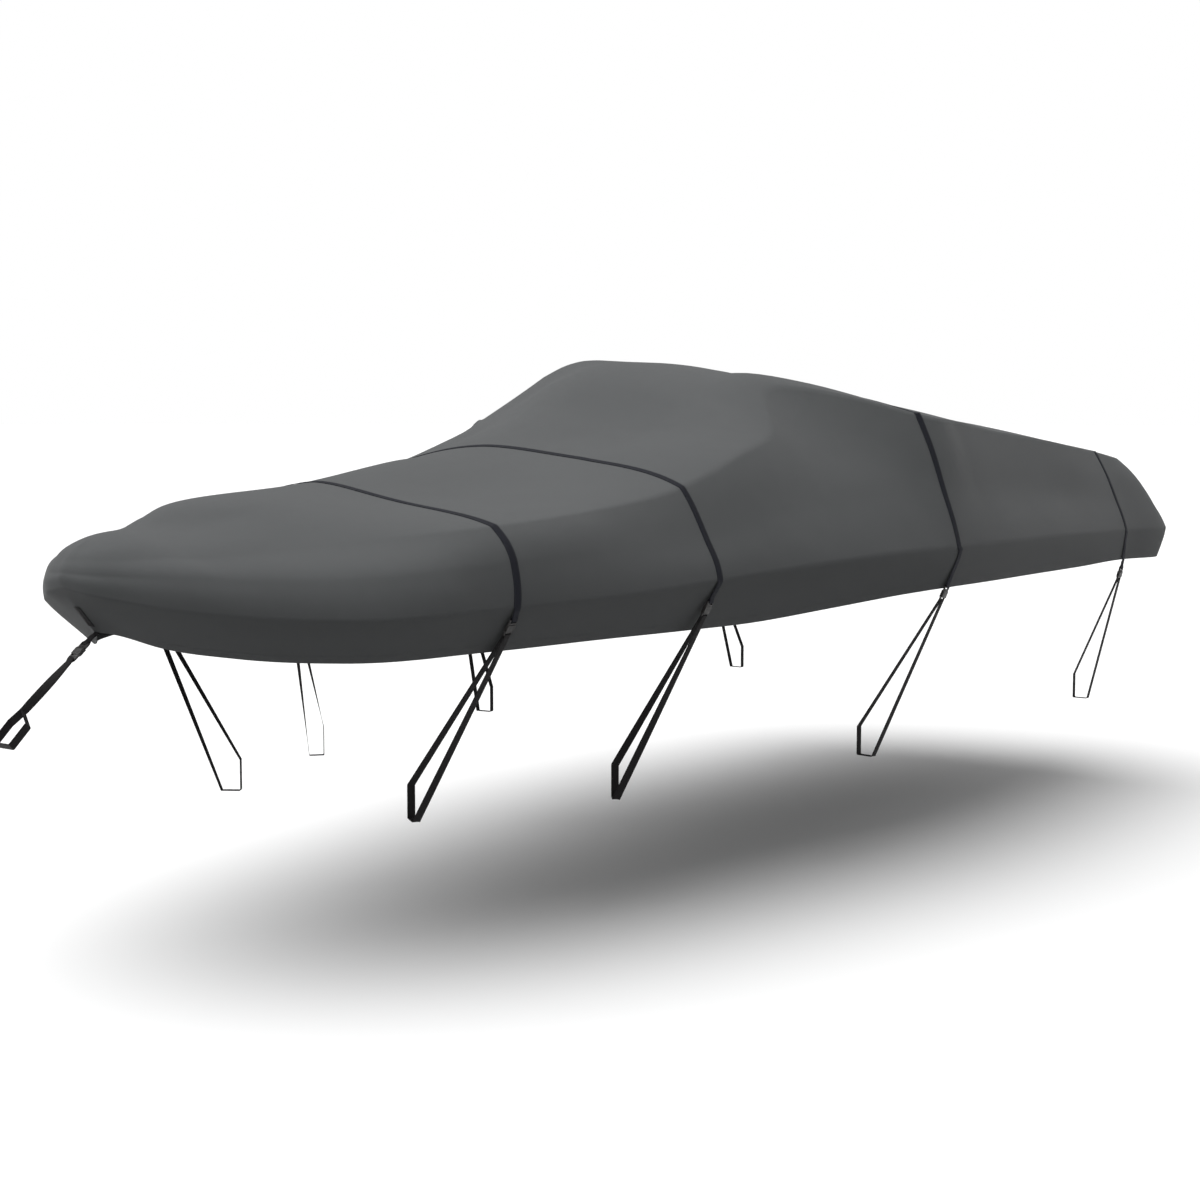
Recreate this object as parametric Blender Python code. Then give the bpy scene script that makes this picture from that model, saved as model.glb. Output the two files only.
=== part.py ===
"""Fitted boat cover with tie-down webbing. Metres, +Z up, bow toward -X, starboard +Y."""

import math

import bmesh
import bpy
import numpy as np
from mathutils import Matrix, Vector

# Heights below are above the ground. The part's own origin is the mount: the point under
# the top that what it covers holds up.
ORIGIN = Vector((0.0, 0.0, 1.863))

# Cloth and webbing
CLOTH = 0.0020          # thickness of the cloth
HEM_EXTRA = 0.0010      # the turned hem is thicker by this, on its inner face
HEM_WIDTH = 0.025       # height of the turned hem
HEM_RING = 4.85         # ring value at the hem's upper edge
CALM = 0.8              # rings above the hem over which the folds fade out
FIT = 0.0003            # gap between two pieces that touch
WEB_WIDTH = 0.025
WEB = 0.0014            # thickness of the webbing
SEAM_GAP = 0.0005       # webbing above the cloth it is sewn to

# Side-release buckle, closed
BUCKLE_WIDTH = 0.034
BUCKLE_DEPTH = 0.011
HOUSING_LENGTH = 0.036
BASE_LENGTH = 0.016
BOW_HOUSING = 0.046     # the bow strap's buckle is longer, with a second slot
BOW_BASE = 0.020
BAR_DEPTH = 0.0066
PRONG_LENGTH = 0.021
PRONG_WIDTH = 0.0052
PRONG_DEPTH = 0.0046
GUIDE_WIDTH = 0.005
CAVITY_WIDTH = 0.0270
CAVITY_DEPTH = 0.0062
CAVITY_LENGTH = 0.0225
WINDOW_START = 0.0105
WINDOW_LENGTH = 0.0095
SLOT_WIDTH = 0.0268
SLOT_LENGTH = 0.0062
BAR = 0.0030            # length of each bar along the strap
END_INSET = 0.001       # the ends with the slots are narrower than the body, at each side
OVERLAP = 0.004         # length of an end inside the body
CHAMFER = 0.003
MOUTH_CHAMFER = 0.002
PRONG_FIT = 0.0006      # gap between a prong and the housing's walls
CATCH_FIT = 0.0004      # the catch stands in from the housing's side by this
CATCH_RISE = 0.0010
CATCH_LENGTH = 0.0029
PRONG_TAPER = 0.0012
GUIDE_LENGTH = 0.018

PLY = WEB / 2 + FIT / 2  # middle of a ply that lies against another
BAR_CLEAR = WEB / 2 + FIT
TURN = 0.0005           # chamfer of the webbing where it turns round a bar
LOOP_RADIUS = 0.004
PLY_JOIN = 0.014        # the two plies come together this far from the bar
TAIL = 0.032            # and the sewn-back ply ends here
HEM_CLEAR = 0.010       # the free run passes the hem this far outboard
BEARING = 0.0018        # middle of the free run above the cloth that it bears on
SEAM_END = 0.010        # the free run keeps the cloth's lie for this far
SEAM_LIFT = 0.0030      # and bulges by this
LIE = 0.0008            # gap between the cloth's facets and the back of a buckle
SWING = 0.2             # share of the webbing's width kept clear at each side of a buckle
REACH = 0.020           # and before and after it
LOOP_STEP = 0.09        # longest straight step of a rail loop

# The straps go round a frame rail of this section, which isn't modelled
RAIL_HEIGHT = 0.102
RAIL_BOTTOM = 0.436

# One row per station, from bow to stern, and one (x, y, z) per ring of the cover.
STATIONS = (
    "bow", "stem", "cheek", "flare", "rail", "strap1", "foredeck", "strap2", "slope", "screen",
    "post", "ridge", "strap3", "wing", "cockpit", "quarterdeck", "strap4", "quarter", "corner",
    "transom", "stern",
)
#  spine                   brow                     shoulder                 waist                    knuckle                  hem
SECTIONS = (
    ((-2.700, 0, 1.318), (-2.730, 0.000, 1.302), (-2.765, 0.000, 1.270), (-2.785, 0.000, 1.235), (-2.785, 0.000, 1.192), (-2.680, 0.000, 1.060)),
    ((-2.670, 0, 1.325), (-2.705, 0.045, 1.307), (-2.745, 0.070, 1.270), (-2.765, 0.080, 1.230), (-2.770, 0.080, 1.178), (-2.635, 0.050, 1.048)),
    ((-2.620, 0, 1.335), (-2.640, 0.100, 1.315), (-2.680, 0.150, 1.270), (-2.705, 0.170, 1.225), (-2.705, 0.180, 1.155), (-2.560, 0.140, 1.012)),
    ((-2.520, 0, 1.346), (-2.500, 0.150, 1.328), (-2.530, 0.280, 1.275), (-2.570, 0.340, 1.215), (-2.570, 0.360, 1.122), (-2.435, 0.310, 0.982)),
    ((-2.380, 0, 1.406), (-2.240, 0.240, 1.385), (-2.250, 0.460, 1.300), (-2.310, 0.580, 1.210), (-2.310, 0.620, 1.098), (-2.230, 0.530, 0.965)),
    ((-1.820, 0, 1.460), (-1.820, 0.360, 1.410), (-1.820, 0.740, 1.345), (-1.820, 0.815, 1.245), (-1.820, 0.828, 1.112), (-1.820, 0.718, 0.973)),
    ((-1.400, 0, 1.520), (-1.400, 0.400, 1.450), (-1.400, 0.800, 1.383), (-1.400, 0.880, 1.270), (-1.400, 0.920, 1.123), (-1.400, 0.815, 0.980)),
    ((-1.000, 0, 1.562), (-1.000, 0.420, 1.520), (-1.000, 0.830, 1.433), (-1.000, 0.930, 1.275), (-1.000, 0.982, 1.145), (-1.000, 0.875, 0.980)),
    ((-0.700, 0, 1.675), (-0.700, 0.400, 1.572), (-0.700, 0.890, 1.438), (-0.700, 0.990, 1.290), (-0.700, 1.035, 1.162), (-0.700, 0.930, 0.985)),
    ((-0.430, 0, 1.825), (-0.400, 0.410, 1.682), (-0.370, 0.970, 1.470), (-0.350, 1.060, 1.320), (-0.350, 1.105, 1.182), (-0.350, 1.010, 1.010)),
    ((-0.130, 0, 1.865), (-0.040, 0.460, 1.830), (-0.060, 1.010, 1.555), (-0.050, 1.110, 1.350), (-0.050, 1.160, 1.195), (-0.050, 1.090, 1.035)),
    ((0.070, 0, 1.864), (0.090, 0.500, 1.806), (0.090, 1.020, 1.680), (0.080, 1.135, 1.390), (0.080, 1.186, 1.197), (0.080, 1.132, 1.045)),
    ((0.200, 0, 1.851), (0.200, 0.500, 1.775), (0.200, 1.035, 1.671), (0.200, 1.138, 1.405), (0.200, 1.203, 1.198), (0.200, 1.155, 1.050)),
    ((0.500, 0, 1.825), (0.500, 0.500, 1.740), (0.500, 1.030, 1.650), (0.500, 1.132, 1.395), (0.500, 1.205, 1.200), (0.500, 1.160, 1.052)),
    ((0.950, 0, 1.770), (0.950, 0.500, 1.690), (0.950, 1.000, 1.604), (0.950, 1.102, 1.370), (0.950, 1.180, 1.198), (0.950, 1.140, 1.052)),
    ((1.450, 0, 1.690), (1.450, 0.500, 1.630), (1.450, 0.980, 1.562), (1.450, 1.070, 1.340), (1.450, 1.140, 1.190), (1.450, 1.110, 1.050)),
    ((1.950, 0, 1.605), (1.950, 0.480, 1.575), (1.950, 0.945, 1.513), (1.950, 1.045, 1.310), (1.950, 1.095, 1.178), (1.950, 1.075, 1.050)),
    ((2.110, 0, 1.580), (2.130, 0.460, 1.555), (2.220, 0.930, 1.470), (2.400, 1.020, 1.300), (2.500, 1.055, 1.165), (2.460, 1.030, 1.035)),
    ((2.160, 0, 1.570), (2.200, 0.400, 1.545), (2.340, 0.850, 1.455), (2.570, 0.910, 1.290), (2.680, 0.940, 1.155), (2.640, 0.920, 1.030)),
    ((2.190, 0, 1.565), (2.240, 0.220, 1.540), (2.390, 0.450, 1.450), (2.630, 0.450, 1.285), (2.750, 0.450, 1.150), (2.710, 0.450, 1.030)),
    ((2.200, 0, 1.565), (2.250, 0.000, 1.540), (2.400, 0.000, 1.450), (2.640, 0.000, 1.285), (2.760, 0.000, 1.150), (2.720, 0.000, 1.030)),
)
# On port the windscreen under the cloth stands further forward and out: brow to hem there
PORT_SECTIONS = {
    "slope": ((-0.700, 0.400, 1.605), (-0.660, 0.835, 1.538), (-0.690, 0.955, 1.340), (-0.700, 1.035, 1.162), (-0.700, 0.930, 0.985)),
    "screen": ((-0.440, 0.400, 1.745), (-0.420, 0.800, 1.612), (-0.380, 0.978, 1.395), (-0.350, 1.105, 1.182), (-0.350, 1.010, 1.010)),
    "post": ((-0.180, 0.400, 1.822), (-0.220, 0.670, 1.769), (-0.120, 1.010, 1.440), (-0.050, 1.160, 1.195), (-0.050, 1.090, 1.035)),
    "ridge": ((0.040, 0.460, 1.799), (-0.020, 0.820, 1.745), (0.040, 1.060, 1.435), (0.080, 1.186, 1.197), (0.080, 1.132, 1.045)),
}
# How far each ring is rounded over, from spine to hem: 0 is a hard fold, 1 a smooth curve. The
# first number is the station. The bow is round, and the shoulder aft of the windscreen sharp.
ROUND = (
    (3, (1.0, 1.0, 1.0, 1.0, 0.45, 0.6)),
    (5, (1.0, 0.6, 0.5, 0.8, 0.45, 0.6)),
    (10, (1.0, 0.6, 0.5, 0.8, 0.45, 0.6)),
    (12, (1.0, 0.6, 0.1, 0.8, 0.45, 0.6)),
)
# Rows of the mesh between two rings, then the hem's own row
ROWS = (4, 5, 4, 4, 4)
# Columns of the mesh between two stations
COLUMNS = (2, 2, 2, 2, 4, 3, 3, 2, 2, 3, 2, 2, 2, 2, 3, 3, 2, 2, 2, 2)

# Soft folds. Side is -1 port, 1 starboard, 0 both; ring 0 is the spine and 5 the hem.
#  side  x      ring  half length  half width  depth    lean
FOLDS = (
    (-1, -2.62, 2.60, 0.035, 1.30, 0.0045, 0.00),
    (-1, -2.50, 2.80, 0.040, 1.10, -0.0035, 0.02),
    (1, -2.56, 2.70, 0.045, 1.20, 0.0045, 0.01),
    (1, -2.34, 1.40, 0.140, 0.45, -0.0160, 0.00),
    (-1, -2.05, 3.55, 0.060, 0.45, 0.0050, 0.03),
    (1, -2.05, 1.50, 0.120, 0.40, -0.0080, 0.00),
    (-1, -1.93, 3.60, 0.045, 0.40, -0.0035, 0.02),
    (1, -1.85, 0.80, 0.250, 0.45, -0.0100, 0.00),
    (1, -2.10, 3.50, 0.060, 0.50, 0.0050, -0.02),
    (0, -1.55, 1.10, 0.200, 0.60, -0.0080, 0.05),
    (0, -1.25, 2.60, 0.180, 0.55, -0.0060, 0.06),
    (1, -1.08, 1.50, 0.260, 0.50, -0.0450, 0.00),
    (-1, -0.98, 1.55, 0.200, 0.45, 0.0090, 0.00),
    (1, -0.58, 2.80, 0.170, 0.60, -0.0080, 0.08),
    (1, -0.25, 1.50, 0.100, 0.35, -0.0100, 0.00),
    (1, -0.10, 0.65, 0.100, 0.30, 0.0200, 0.00),
    (1, 0.08, 1.80, 0.110, 0.50, -0.0550, 0.00),
    (0, 0.70, 0.90, 0.220, 0.80, -0.0120, 0.00),
    (-1, 0.75, 2.60, 0.220, 0.60, -0.0070, 0.05),
    (1, 0.80, 2.50, 0.240, 0.60, -0.0080, 0.04),
    (0, 1.65, 0.90, 0.200, 0.80, -0.0100, 0.00),
    (-1, 1.30, 2.70, 0.180, 0.50, -0.0050, 0.04),
    (1, 1.45, 2.60, 0.200, 0.55, -0.0060, 0.02),
    (-1, 2.28, 2.20, 0.080, 0.40, 0.0100, 0.00),
    (-1, 2.42, 2.90, 0.060, 0.80, -0.0060, 0.02),
    (1, 2.40, 2.80, 0.070, 0.80, -0.0070, 0.02),
)

# One row per tie-down, port side: distance from the knuckle to the buckle, then where the
# rail's outer and inner faces are
#  station   to buckle  outer x  outer y  inner x  inner y
STRAPS = (
    ("strap1", 0.040, -1.830, 0.432, -1.795, 0.381),
    ("strap2", 0.075, -1.172, 0.697, -1.133, 0.664),
    ("strap3", 0.150, 0.051, 0.944, 0.061, 0.880),
    ("strap4", 0.165, 1.950, 0.934, 1.950, 0.872),
)
SIDES = (("port", -1.0), ("starboard", 1.0))

# Bow strap, on the centreline: rings between which its patch is sewn on the stem, then the
# line it hangs along, from under the hem to where it parts round a post
BOW_PATCH = (4.40, 4.86)
BOW_LINE = ((-2.686, 0.0, 1.0475), (-2.924, 0.0, 0.862))
BOW_TO_BAR = 0.030
STEM_GAP = 0.0014       # webbing off the cloth at the stem, which is sharply folded
BOW_STEPS = 12
BOW_JOIN = 0.010        # the tab's two plies come together this far from the bar
BOW_TAIL = 0.014        # and the turned-back ply ends here
TAB_DROP = 0.006        # the tab flattens over this length below the hem
TAB_SPREAD = 0.002      # its fold opening by this
LOOP_JOIN = 0.012       # the loop's two plies come together this far from the bar
POST_WIDTH = 0.077
#  x       side  z
POST_CORNERS = (
    (-2.938, -1, 0.829),
    (-2.993, -1, 0.778),
    (-2.993, 1, 0.778),
    (-2.938, 1, 0.829),
)

STEM_LEAN = -0.3        # the stem and the transom lean in by less than this
CUT_LEAN = np.array([-0.35, -0.45, 0.82])  # a quad is cut along its diagonal that lies higher

BUCKLE_COLOUR = (0.018, 0.018, 0.020, 1.0)
CLOTH_COLOUR = (0.115, 0.121, 0.124, 1.0)
WEB_COLOUR = (0.022, 0.023, 0.030, 1.0)


def clear_scene():
    for obj in list(bpy.data.objects):
        bpy.data.objects.remove(obj, do_unlink=True)


def material_of(name, colour, roughness):
    material = bpy.data.materials.new(name)
    material.use_nodes = True
    shader = material.node_tree.nodes["Principled BSDF"]
    shader.inputs["Base Color"].default_value = colour
    shader.inputs["Roughness"].default_value = roughness
    return material


def add_mesh(name, points, faces, colour, roughness, smooth):
    mesh = bpy.data.meshes.new(name)
    mesh.from_pydata([tuple(map(float, p)) for p in points], [], faces)
    mesh.update()
    obj = bpy.data.objects.new(name, mesh)
    bpy.context.scene.collection.objects.link(obj)
    mesh.materials.append(material_of(name, colour, roughness))
    for polygon in mesh.polygons:
        polygon.use_smooth = smooth
    return obj


def unit(v):
    v = np.asarray(v, float)
    length = np.linalg.norm(v, axis=-1, keepdims=True)
    return v / np.where(length < 1e-12, 1.0, length)


# ---------------------------------------------------------------- the cover's surface

def blend(knots, at, roundness):
    """Reads the curve through the knots, between straight and smooth, at each parameter."""
    knots = np.asarray(knots, float)
    count = len(knots)
    step = np.diff(knots, axis=0)
    reach = np.linalg.norm(step, axis=-1).reshape(count - 1, -1).mean(axis=1)
    shape = (-1,) + (1,) * (knots.ndim - 1)
    slope = step / reach.reshape(shape)
    tangent = np.empty_like(knots)
    tangent[0], tangent[-1] = slope[0], slope[-1]
    before, after = reach[:-1].reshape(shape), reach[1:].reshape(shape)
    tangent[1:-1] = (slope[:-1] * after + slope[1:] * before) / (before + after)
    roundness = roundness * np.ones((count, 1, 1))
    found = []
    for value in at:
        i = min(int(value), count - 2)
        w = value - i
        smooth = (
            (2 * w**3 - 3 * w**2 + 1) * knots[i]
            + (w**3 - 2 * w**2 + w) * reach[i] * tangent[i]
            + (3 * w**2 - 2 * w**3) * knots[i + 1]
            + (w**3 - w**2) * reach[i] * tangent[i + 1]
        )
        straight = (1 - w) * knots[i] + w * knots[i + 1]
        k = (1 - w) * roundness[i] + w * roundness[i + 1]
        found.append((1 - k) * straight + k * smooth)
    return np.array(found)


def spread(counts):
    """Parameters 0, 1, 2 ... with counts[i] equal steps from i to i + 1."""
    values = [0.0]
    for i, count in enumerate(counts):
        values += [i + (j + 1) / count for j in range(count)]
    return values


def column_parameters():
    """The columns, with a pair of them at each strap, one webbing width apart."""
    values = []
    pairs = []
    for value in spread(COLUMNS):
        name = STATIONS[int(round(value))] if abs(value - round(value)) < 1e-9 else ""
        if not name.startswith("strap"):
            values.append(value)
            continue
        i = int(round(value))
        x = [SECTIONS[j][4][0] for j in (i - 1, i, i + 1)]
        rate = ((x[1] - x[0]) * (x[2] - x[1]) * 2) / (x[2] - x[0])
        half = 0.5 * WEB_WIDTH / rate
        pairs.append(len(values))
        values += [value - half, value + half]
    return values, pairs


def fold_offset(points, ring, side):
    """Displacement along the normal that the soft folds give, per point."""
    total = np.zeros(points.shape[:2])
    for fold_side, x, at, length, width, depth, lean in FOLDS:
        if fold_side and fold_side != side:
            continue
        across = (points[:, :, 0] - x - lean * (ring[:, None] - at)) / length
        down = (ring[:, None] - at) / width
        total += depth * np.exp(-0.5 * (across**2 + down**2))
    return total


def half_surface(side):
    """Outer points (rows, columns, 3) of one side, from the spine down to the hem."""
    columns, pairs = column_parameters()
    sections = np.array(SECTIONS, float)
    if side < 0:
        for station, rings in PORT_SECTIONS.items():
            sections[STATIONS.index(station), 1:] = rings
    rings = blend(sections, columns, 1.0)
    rows = np.array(spread(ROWS))
    # The other side's brow comes first, so that the cloth runs level over the spine.
    knots = np.concatenate([rings[:, 1:2] * (1.0, -1.0, 1.0), rings], axis=1)
    at = [station for station, _ in ROUND]
    roundness = [np.interp(columns, at, values) for values in zip(*(row for _, row in ROUND))]
    roundness = np.array(roundness[:1] + roundness)[:, :, None]
    grid = blend(knots.transpose(1, 0, 2), rows + 1.0, roundness)
    # The last stretch above the hem edge is the hem itself.
    drop = np.linalg.norm(grid[-1] - grid[-2], axis=-1, keepdims=True)
    skirt = grid[-1] + (grid[-2] - grid[-1]) * HEM_WIDTH / drop
    grid = np.concatenate([grid[:-1], skirt[None], grid[-1:]])
    ring = np.concatenate([rows[:-1], [HEM_RING, 5.0]])
    grid[:, :, 1] *= side
    return grid, ring, pairs


def whole_surface():
    """Both sides as one grid that runs from the port hem over the spine to starboard's."""
    port, ring, pairs = half_surface(-1.0)
    starboard, _, _ = half_surface(1.0)
    grid = np.concatenate([port[::-1], starboard[1:]])
    rings = np.concatenate([ring[::-1], ring[1:]])
    return grid, rings, len(ring) - 1, pairs


def normals_of(grid):
    """Outward unit normals of the grid, closed at the bow and the stern by its mirror rows."""
    rows, columns = grid.shape[:2]
    along = np.empty_like(grid)
    along[:, 1:-1] = unit(grid[:, 2:] - grid[:, 1:-1]) + unit(grid[:, 1:-1] - grid[:, :-2])
    # The centreline column has its neighbour on the other side.
    along[:, 0] = unit(grid[:, 1] - grid[::-1][:, 1])
    along[:, -1] = unit(grid[::-1][:, -2] - grid[:, -2])
    down = np.empty_like(grid)
    down[1:-1] = unit(grid[2:] - grid[1:-1]) + unit(grid[1:-1] - grid[:-2])
    down[0] = grid[1] - grid[0]
    down[-1] = grid[-1] - grid[-2]
    normal = unit(np.cross(along, down))
    middle = rows // 2
    for column, x in ((0, -1.0), (-1, 1.0)):
        # In the centre plane a normal points away from the boat, or up.
        normal[:, column, 1] = 0.0
        flip = normal[:, column, 0] * x + normal[:, column, 2] < STEM_LEAN
        normal[flip, column] *= -1
        normal[:, column] = unit(normal[:, column])
    if normal[middle, columns // 2, 2] < 0:
        normal *= -1
    return normal


def cover_points():
    grid, rings, middle, pairs = whole_surface()
    normal = normals_of(grid)
    rows = grid.shape[0]
    offset = np.zeros(grid.shape[:2])
    offset[: middle + 1] = fold_offset(grid[: middle + 1], rings[: middle + 1], -1)
    starboard = fold_offset(grid[middle:], rings[middle:], 1)
    offset[middle] = 0.5 * (offset[middle] + starboard[0])
    offset[middle + 1:] = starboard[1:]
    for column in (0, -1):
        offset[:, column] = 0.5 * (offset[:, column] + offset[::-1][:, column])
    calm = np.clip((5.0 - rings) / CALM, 0.0, 1.0)[:, None]
    outer = grid + normal * (offset * calm)[:, :, None]
    normal = normals_of(outer)
    depth = np.full((rows, 1, 1), CLOTH)
    for row in (0, 1, rows - 2, rows - 1):
        depth[row] += HEM_EXTRA
    inner = outer - normal * depth
    return outer, inner, normal, rings, middle, pairs


def grid_shell(outer, inner):
    """A closed shell from two grids whose first and last columns meet across the centre."""
    rows, columns = outer.shape[:2]
    points, index = [], {}

    def vertex(layer, row, column):
        # The end columns are shared by the two sides, so a mirrored row names the same point.
        if column in (0, columns - 1):
            row = min(row, rows - 1 - row)
        key = (layer, row, column)
        if key not in index:
            index[key] = len(points)
            points.append((outer, inner)[layer][row, column])
        return index[key]

    faces = []

    def face(corners, turn):
        if len(set(corners)) > 2:
            faces.append(tuple(corners[::-1] if turn else corners))

    for layer in (0, 1):
        for row in range(rows - 1):
            for column in range(columns - 1):
                corners = [(row, column), (row, column + 1), (row + 1, column + 1), (row + 1, column)]
                grid = np.array([outer[at] for at in corners])
                for cut in split_quad(grid, 0, 1, 2, 3):
                    face([vertex(layer, *corners[i]) for i in cut], layer == 1)
    for row in (0, rows - 1):
        for column in range(columns - 1):
            face([vertex(0, row, column), vertex(1, row, column),
                  vertex(1, row, column + 1), vertex(0, row, column + 1)], row == rows - 1)
    return points, faces


def face_out(obj):
    mesh = bmesh.new()
    mesh.from_mesh(obj.data)
    bmesh.ops.recalc_face_normals(mesh, faces=mesh.faces)
    if mesh.calc_volume(signed=True) < 0:
        bmesh.ops.reverse_faces(mesh, faces=mesh.faces)
    mesh.to_mesh(obj.data)
    mesh.free()
    obj.data.update()


# ---------------------------------------------------------------- webbing

def frames_along(path, width, closed=False):
    """Corners per point of a flat webbing, from its middle line and its width direction."""
    path = np.asarray(path, float)
    heading = unit(np.roll(path, -1, axis=0) - path)
    before = np.roll(heading, 1, axis=0)
    if not closed:
        heading[-1] = heading[-2]
        before[0] = heading[0]
    tangent = unit(heading + before)
    bend = np.clip((heading * before).sum(axis=1), -1, 1)
    stretch = 1 / np.sqrt(np.maximum((1 + bend) / 2, 0.3))
    across = np.broadcast_to(np.asarray(width, float), path.shape)
    across = unit(across - (across * tangent).sum(axis=1, keepdims=True) * tangent)
    out = unit(np.cross(tangent, across)) * stretch[:, None]
    half, rise = across * WEB_WIDTH / 2, out * WEB / 2
    return np.stack([path - half + rise, path + half + rise, path + half - rise,
                     path - half - rise], axis=1)


def split_quad(points, a, b, c, d):
    """Two triangles, cut so that plies stay parallel."""
    lean = (points[a] + points[c] - points[b] - points[d]) @ CUT_LEAN
    return [(a, b, c), (a, c, d)] if lean > 0 else [(b, c, d), (b, d, a)]


def webbing(name, frames, closed=False):
    """One closed solid through the frames: each is a ring of points, outer face first."""
    frames = np.asarray(frames, float)
    count, size = frames.shape[:2]
    points = frames.reshape(-1, 3)
    faces = []
    for i in range(count if closed else count - 1):
        j = (i + 1) % count
        for k in range(size):
            m = (k + 1) % size
            faces += split_quad(points, size * i + k, size * i + m, size * j + m, size * j + k)
    if not closed:
        for base in (0, size * (count - 1)):
            for k in range(size // 2 - 1):
                faces.append((base + k, base + k + 1, base + size - 2 - k, base + size - 1 - k))
    obj = add_mesh(name, points, faces, WEB_COLOUR, 0.85, False)
    face_out(obj)
    return obj


def corner(before, at, after, radius, steps=3):
    """Points that round the corner of a path, toward what lies before and after it."""
    a, b = unit(before - at), unit(after - at)
    half = math.acos(float(np.clip((a * b).sum(), -1, 1))) / 2
    reach = radius / math.tan(half)
    centre = at + unit(a + b) * radius / math.sin(half)
    start, end = at + a * reach - centre, at + b * reach - centre
    turn = math.pi - 2 * half
    return [
        centre + (math.sin((1 - t) * turn) * start + math.sin(t * turn) * end) / math.sin(turn)
        for t in np.linspace(0, 1, steps + 1)
    ]


# ---------------------------------------------------------------- side-release buckle

def block(name, size, at):
    """A box of (across, along, deep) sizes with its middle at the given place."""
    corners = [
        (at[0] + sx * size[0] / 2, at[1] + sy * size[1] / 2, at[2] + sz * size[2] / 2)
        for sx in (-1, 1) for sy in (-1, 1) for sz in (-1, 1)
    ]
    faces = [(0, 1, 3, 2), (4, 6, 7, 5), (0, 4, 5, 1), (2, 3, 7, 6), (0, 2, 6, 4), (1, 5, 7, 3)]
    obj = add_mesh(name, corners, faces, BUCKLE_COLOUR, 0.4, False)
    face_out(obj)
    return obj


def plate(name, outline, depth):
    """A plate of the outline (across, along), centred on its thickness."""
    count = len(outline)
    points = [(x, y, z) for z in (-depth / 2, depth / 2) for x, y in outline]
    faces = [tuple(range(count))[::-1], tuple(range(count, 2 * count))]
    faces += [(i, (i + 1) % count, count + (i + 1) % count, count + i) for i in range(count)]
    obj = add_mesh(name, points, faces, BUCKLE_COLOUR, 0.4, False)
    face_out(obj)
    return obj


def combine(base, others, operation):
    for other in others:
        modifier = base.modifiers.new(other.name, "BOOLEAN")
        modifier.operation = operation
        modifier.solver = "EXACT"
        modifier.object = other
    bpy.context.view_layer.update()
    graph = bpy.context.evaluated_depsgraph_get()
    mesh = bpy.data.meshes.new_from_object(base.evaluated_get(graph))
    base.modifiers.clear()
    base.data = mesh
    for other in others:
        bpy.data.objects.remove(other, do_unlink=True)
    return base


def buckle_housing(name, length, slots):
    """The receiving half: across is X, +Y runs down the strap, and its mouth is at 0."""
    w = BUCKLE_WIDTH / 2
    frame = slots * (SLOT_LENGTH + BAR)
    shoulder = length - frame
    body = plate(name, [
        (-w + MOUTH_CHAMFER, 0.0), (w - MOUTH_CHAMFER, 0.0), (w, CHAMFER),
        (w, shoulder - CHAMFER), (w - CHAMFER, shoulder), (-w + CHAMFER, shoulder),
        (-w, shoulder - CHAMFER), (-w, CHAMFER),
    ], BUCKLE_DEPTH)
    end = w - END_INSET
    ladder = plate("ladder", [
        (-end, shoulder - OVERLAP), (end, shoulder - OVERLAP), (end, length - CHAMFER),
        (w - CHAMFER, length), (-w + CHAMFER, length), (-end, length - CHAMFER),
    ], BAR_DEPTH)
    body = combine(body, [ladder], "UNION")
    cuts = [
        block("cavity", (CAVITY_WIDTH, CAVITY_LENGTH + 0.01, CAVITY_DEPTH),
              (0, (CAVITY_LENGTH - 0.01) / 2, 0)),
        block("window", (BUCKLE_WIDTH + 0.01, WINDOW_LENGTH, CAVITY_DEPTH),
              (0, WINDOW_START + WINDOW_LENGTH / 2, 0)),
    ]
    for i in range(slots):
        middle = length - BAR - SLOT_LENGTH / 2 - i * (BAR + SLOT_LENGTH)
        cuts.append(block(f"slot{i}", (SLOT_WIDTH, SLOT_LENGTH, 0.02), (0, middle, 0)))
    return combine(body, cuts, "DIFFERENCE")


def buckle_insert(name, length):
    """The half with the prongs: its base lies on the -Y side of the mouth at 0."""
    w = BUCKLE_WIDTH / 2 - END_INSET
    base = plate(name, [
        (-w + CHAMFER, -length), (w - CHAMFER, -length), (w, -length + CHAMFER),
        (w, -FIT), (-w, -FIT), (-w, -length + CHAMFER),
    ], BAR_DEPTH)
    reach = CAVITY_WIDTH / 2 - PRONG_FIT
    catch = BUCKLE_WIDTH / 2 - CATCH_FIT
    notch = WINDOW_START + PRONG_FIT
    parts = []
    for side in (-1, 1):
        prong = [
            (reach - PRONG_WIDTH, -END_INSET), (reach, -END_INSET), (reach, notch),
            (catch, notch + CATCH_RISE), (catch, notch + CATCH_RISE + CATCH_LENGTH),
            (reach - PRONG_TAPER, PRONG_LENGTH), (reach - PRONG_WIDTH, PRONG_LENGTH),
        ]
        parts.append(plate(f"prong{side}", [(side * x, y) for x, y in prong], PRONG_DEPTH))
    parts.append(block("guide", (GUIDE_WIDTH, GUIDE_LENGTH, PRONG_DEPTH),
                       (0, GUIDE_LENGTH / 2 - END_INSET, 0)))
    base = combine(base, parts, "UNION")
    slot = block("slot", (SLOT_WIDTH, SLOT_LENGTH, 0.02), (0, BAR + SLOT_LENGTH / 2 - length, 0))
    return combine(base, [slot], "DIFFERENCE")


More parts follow.
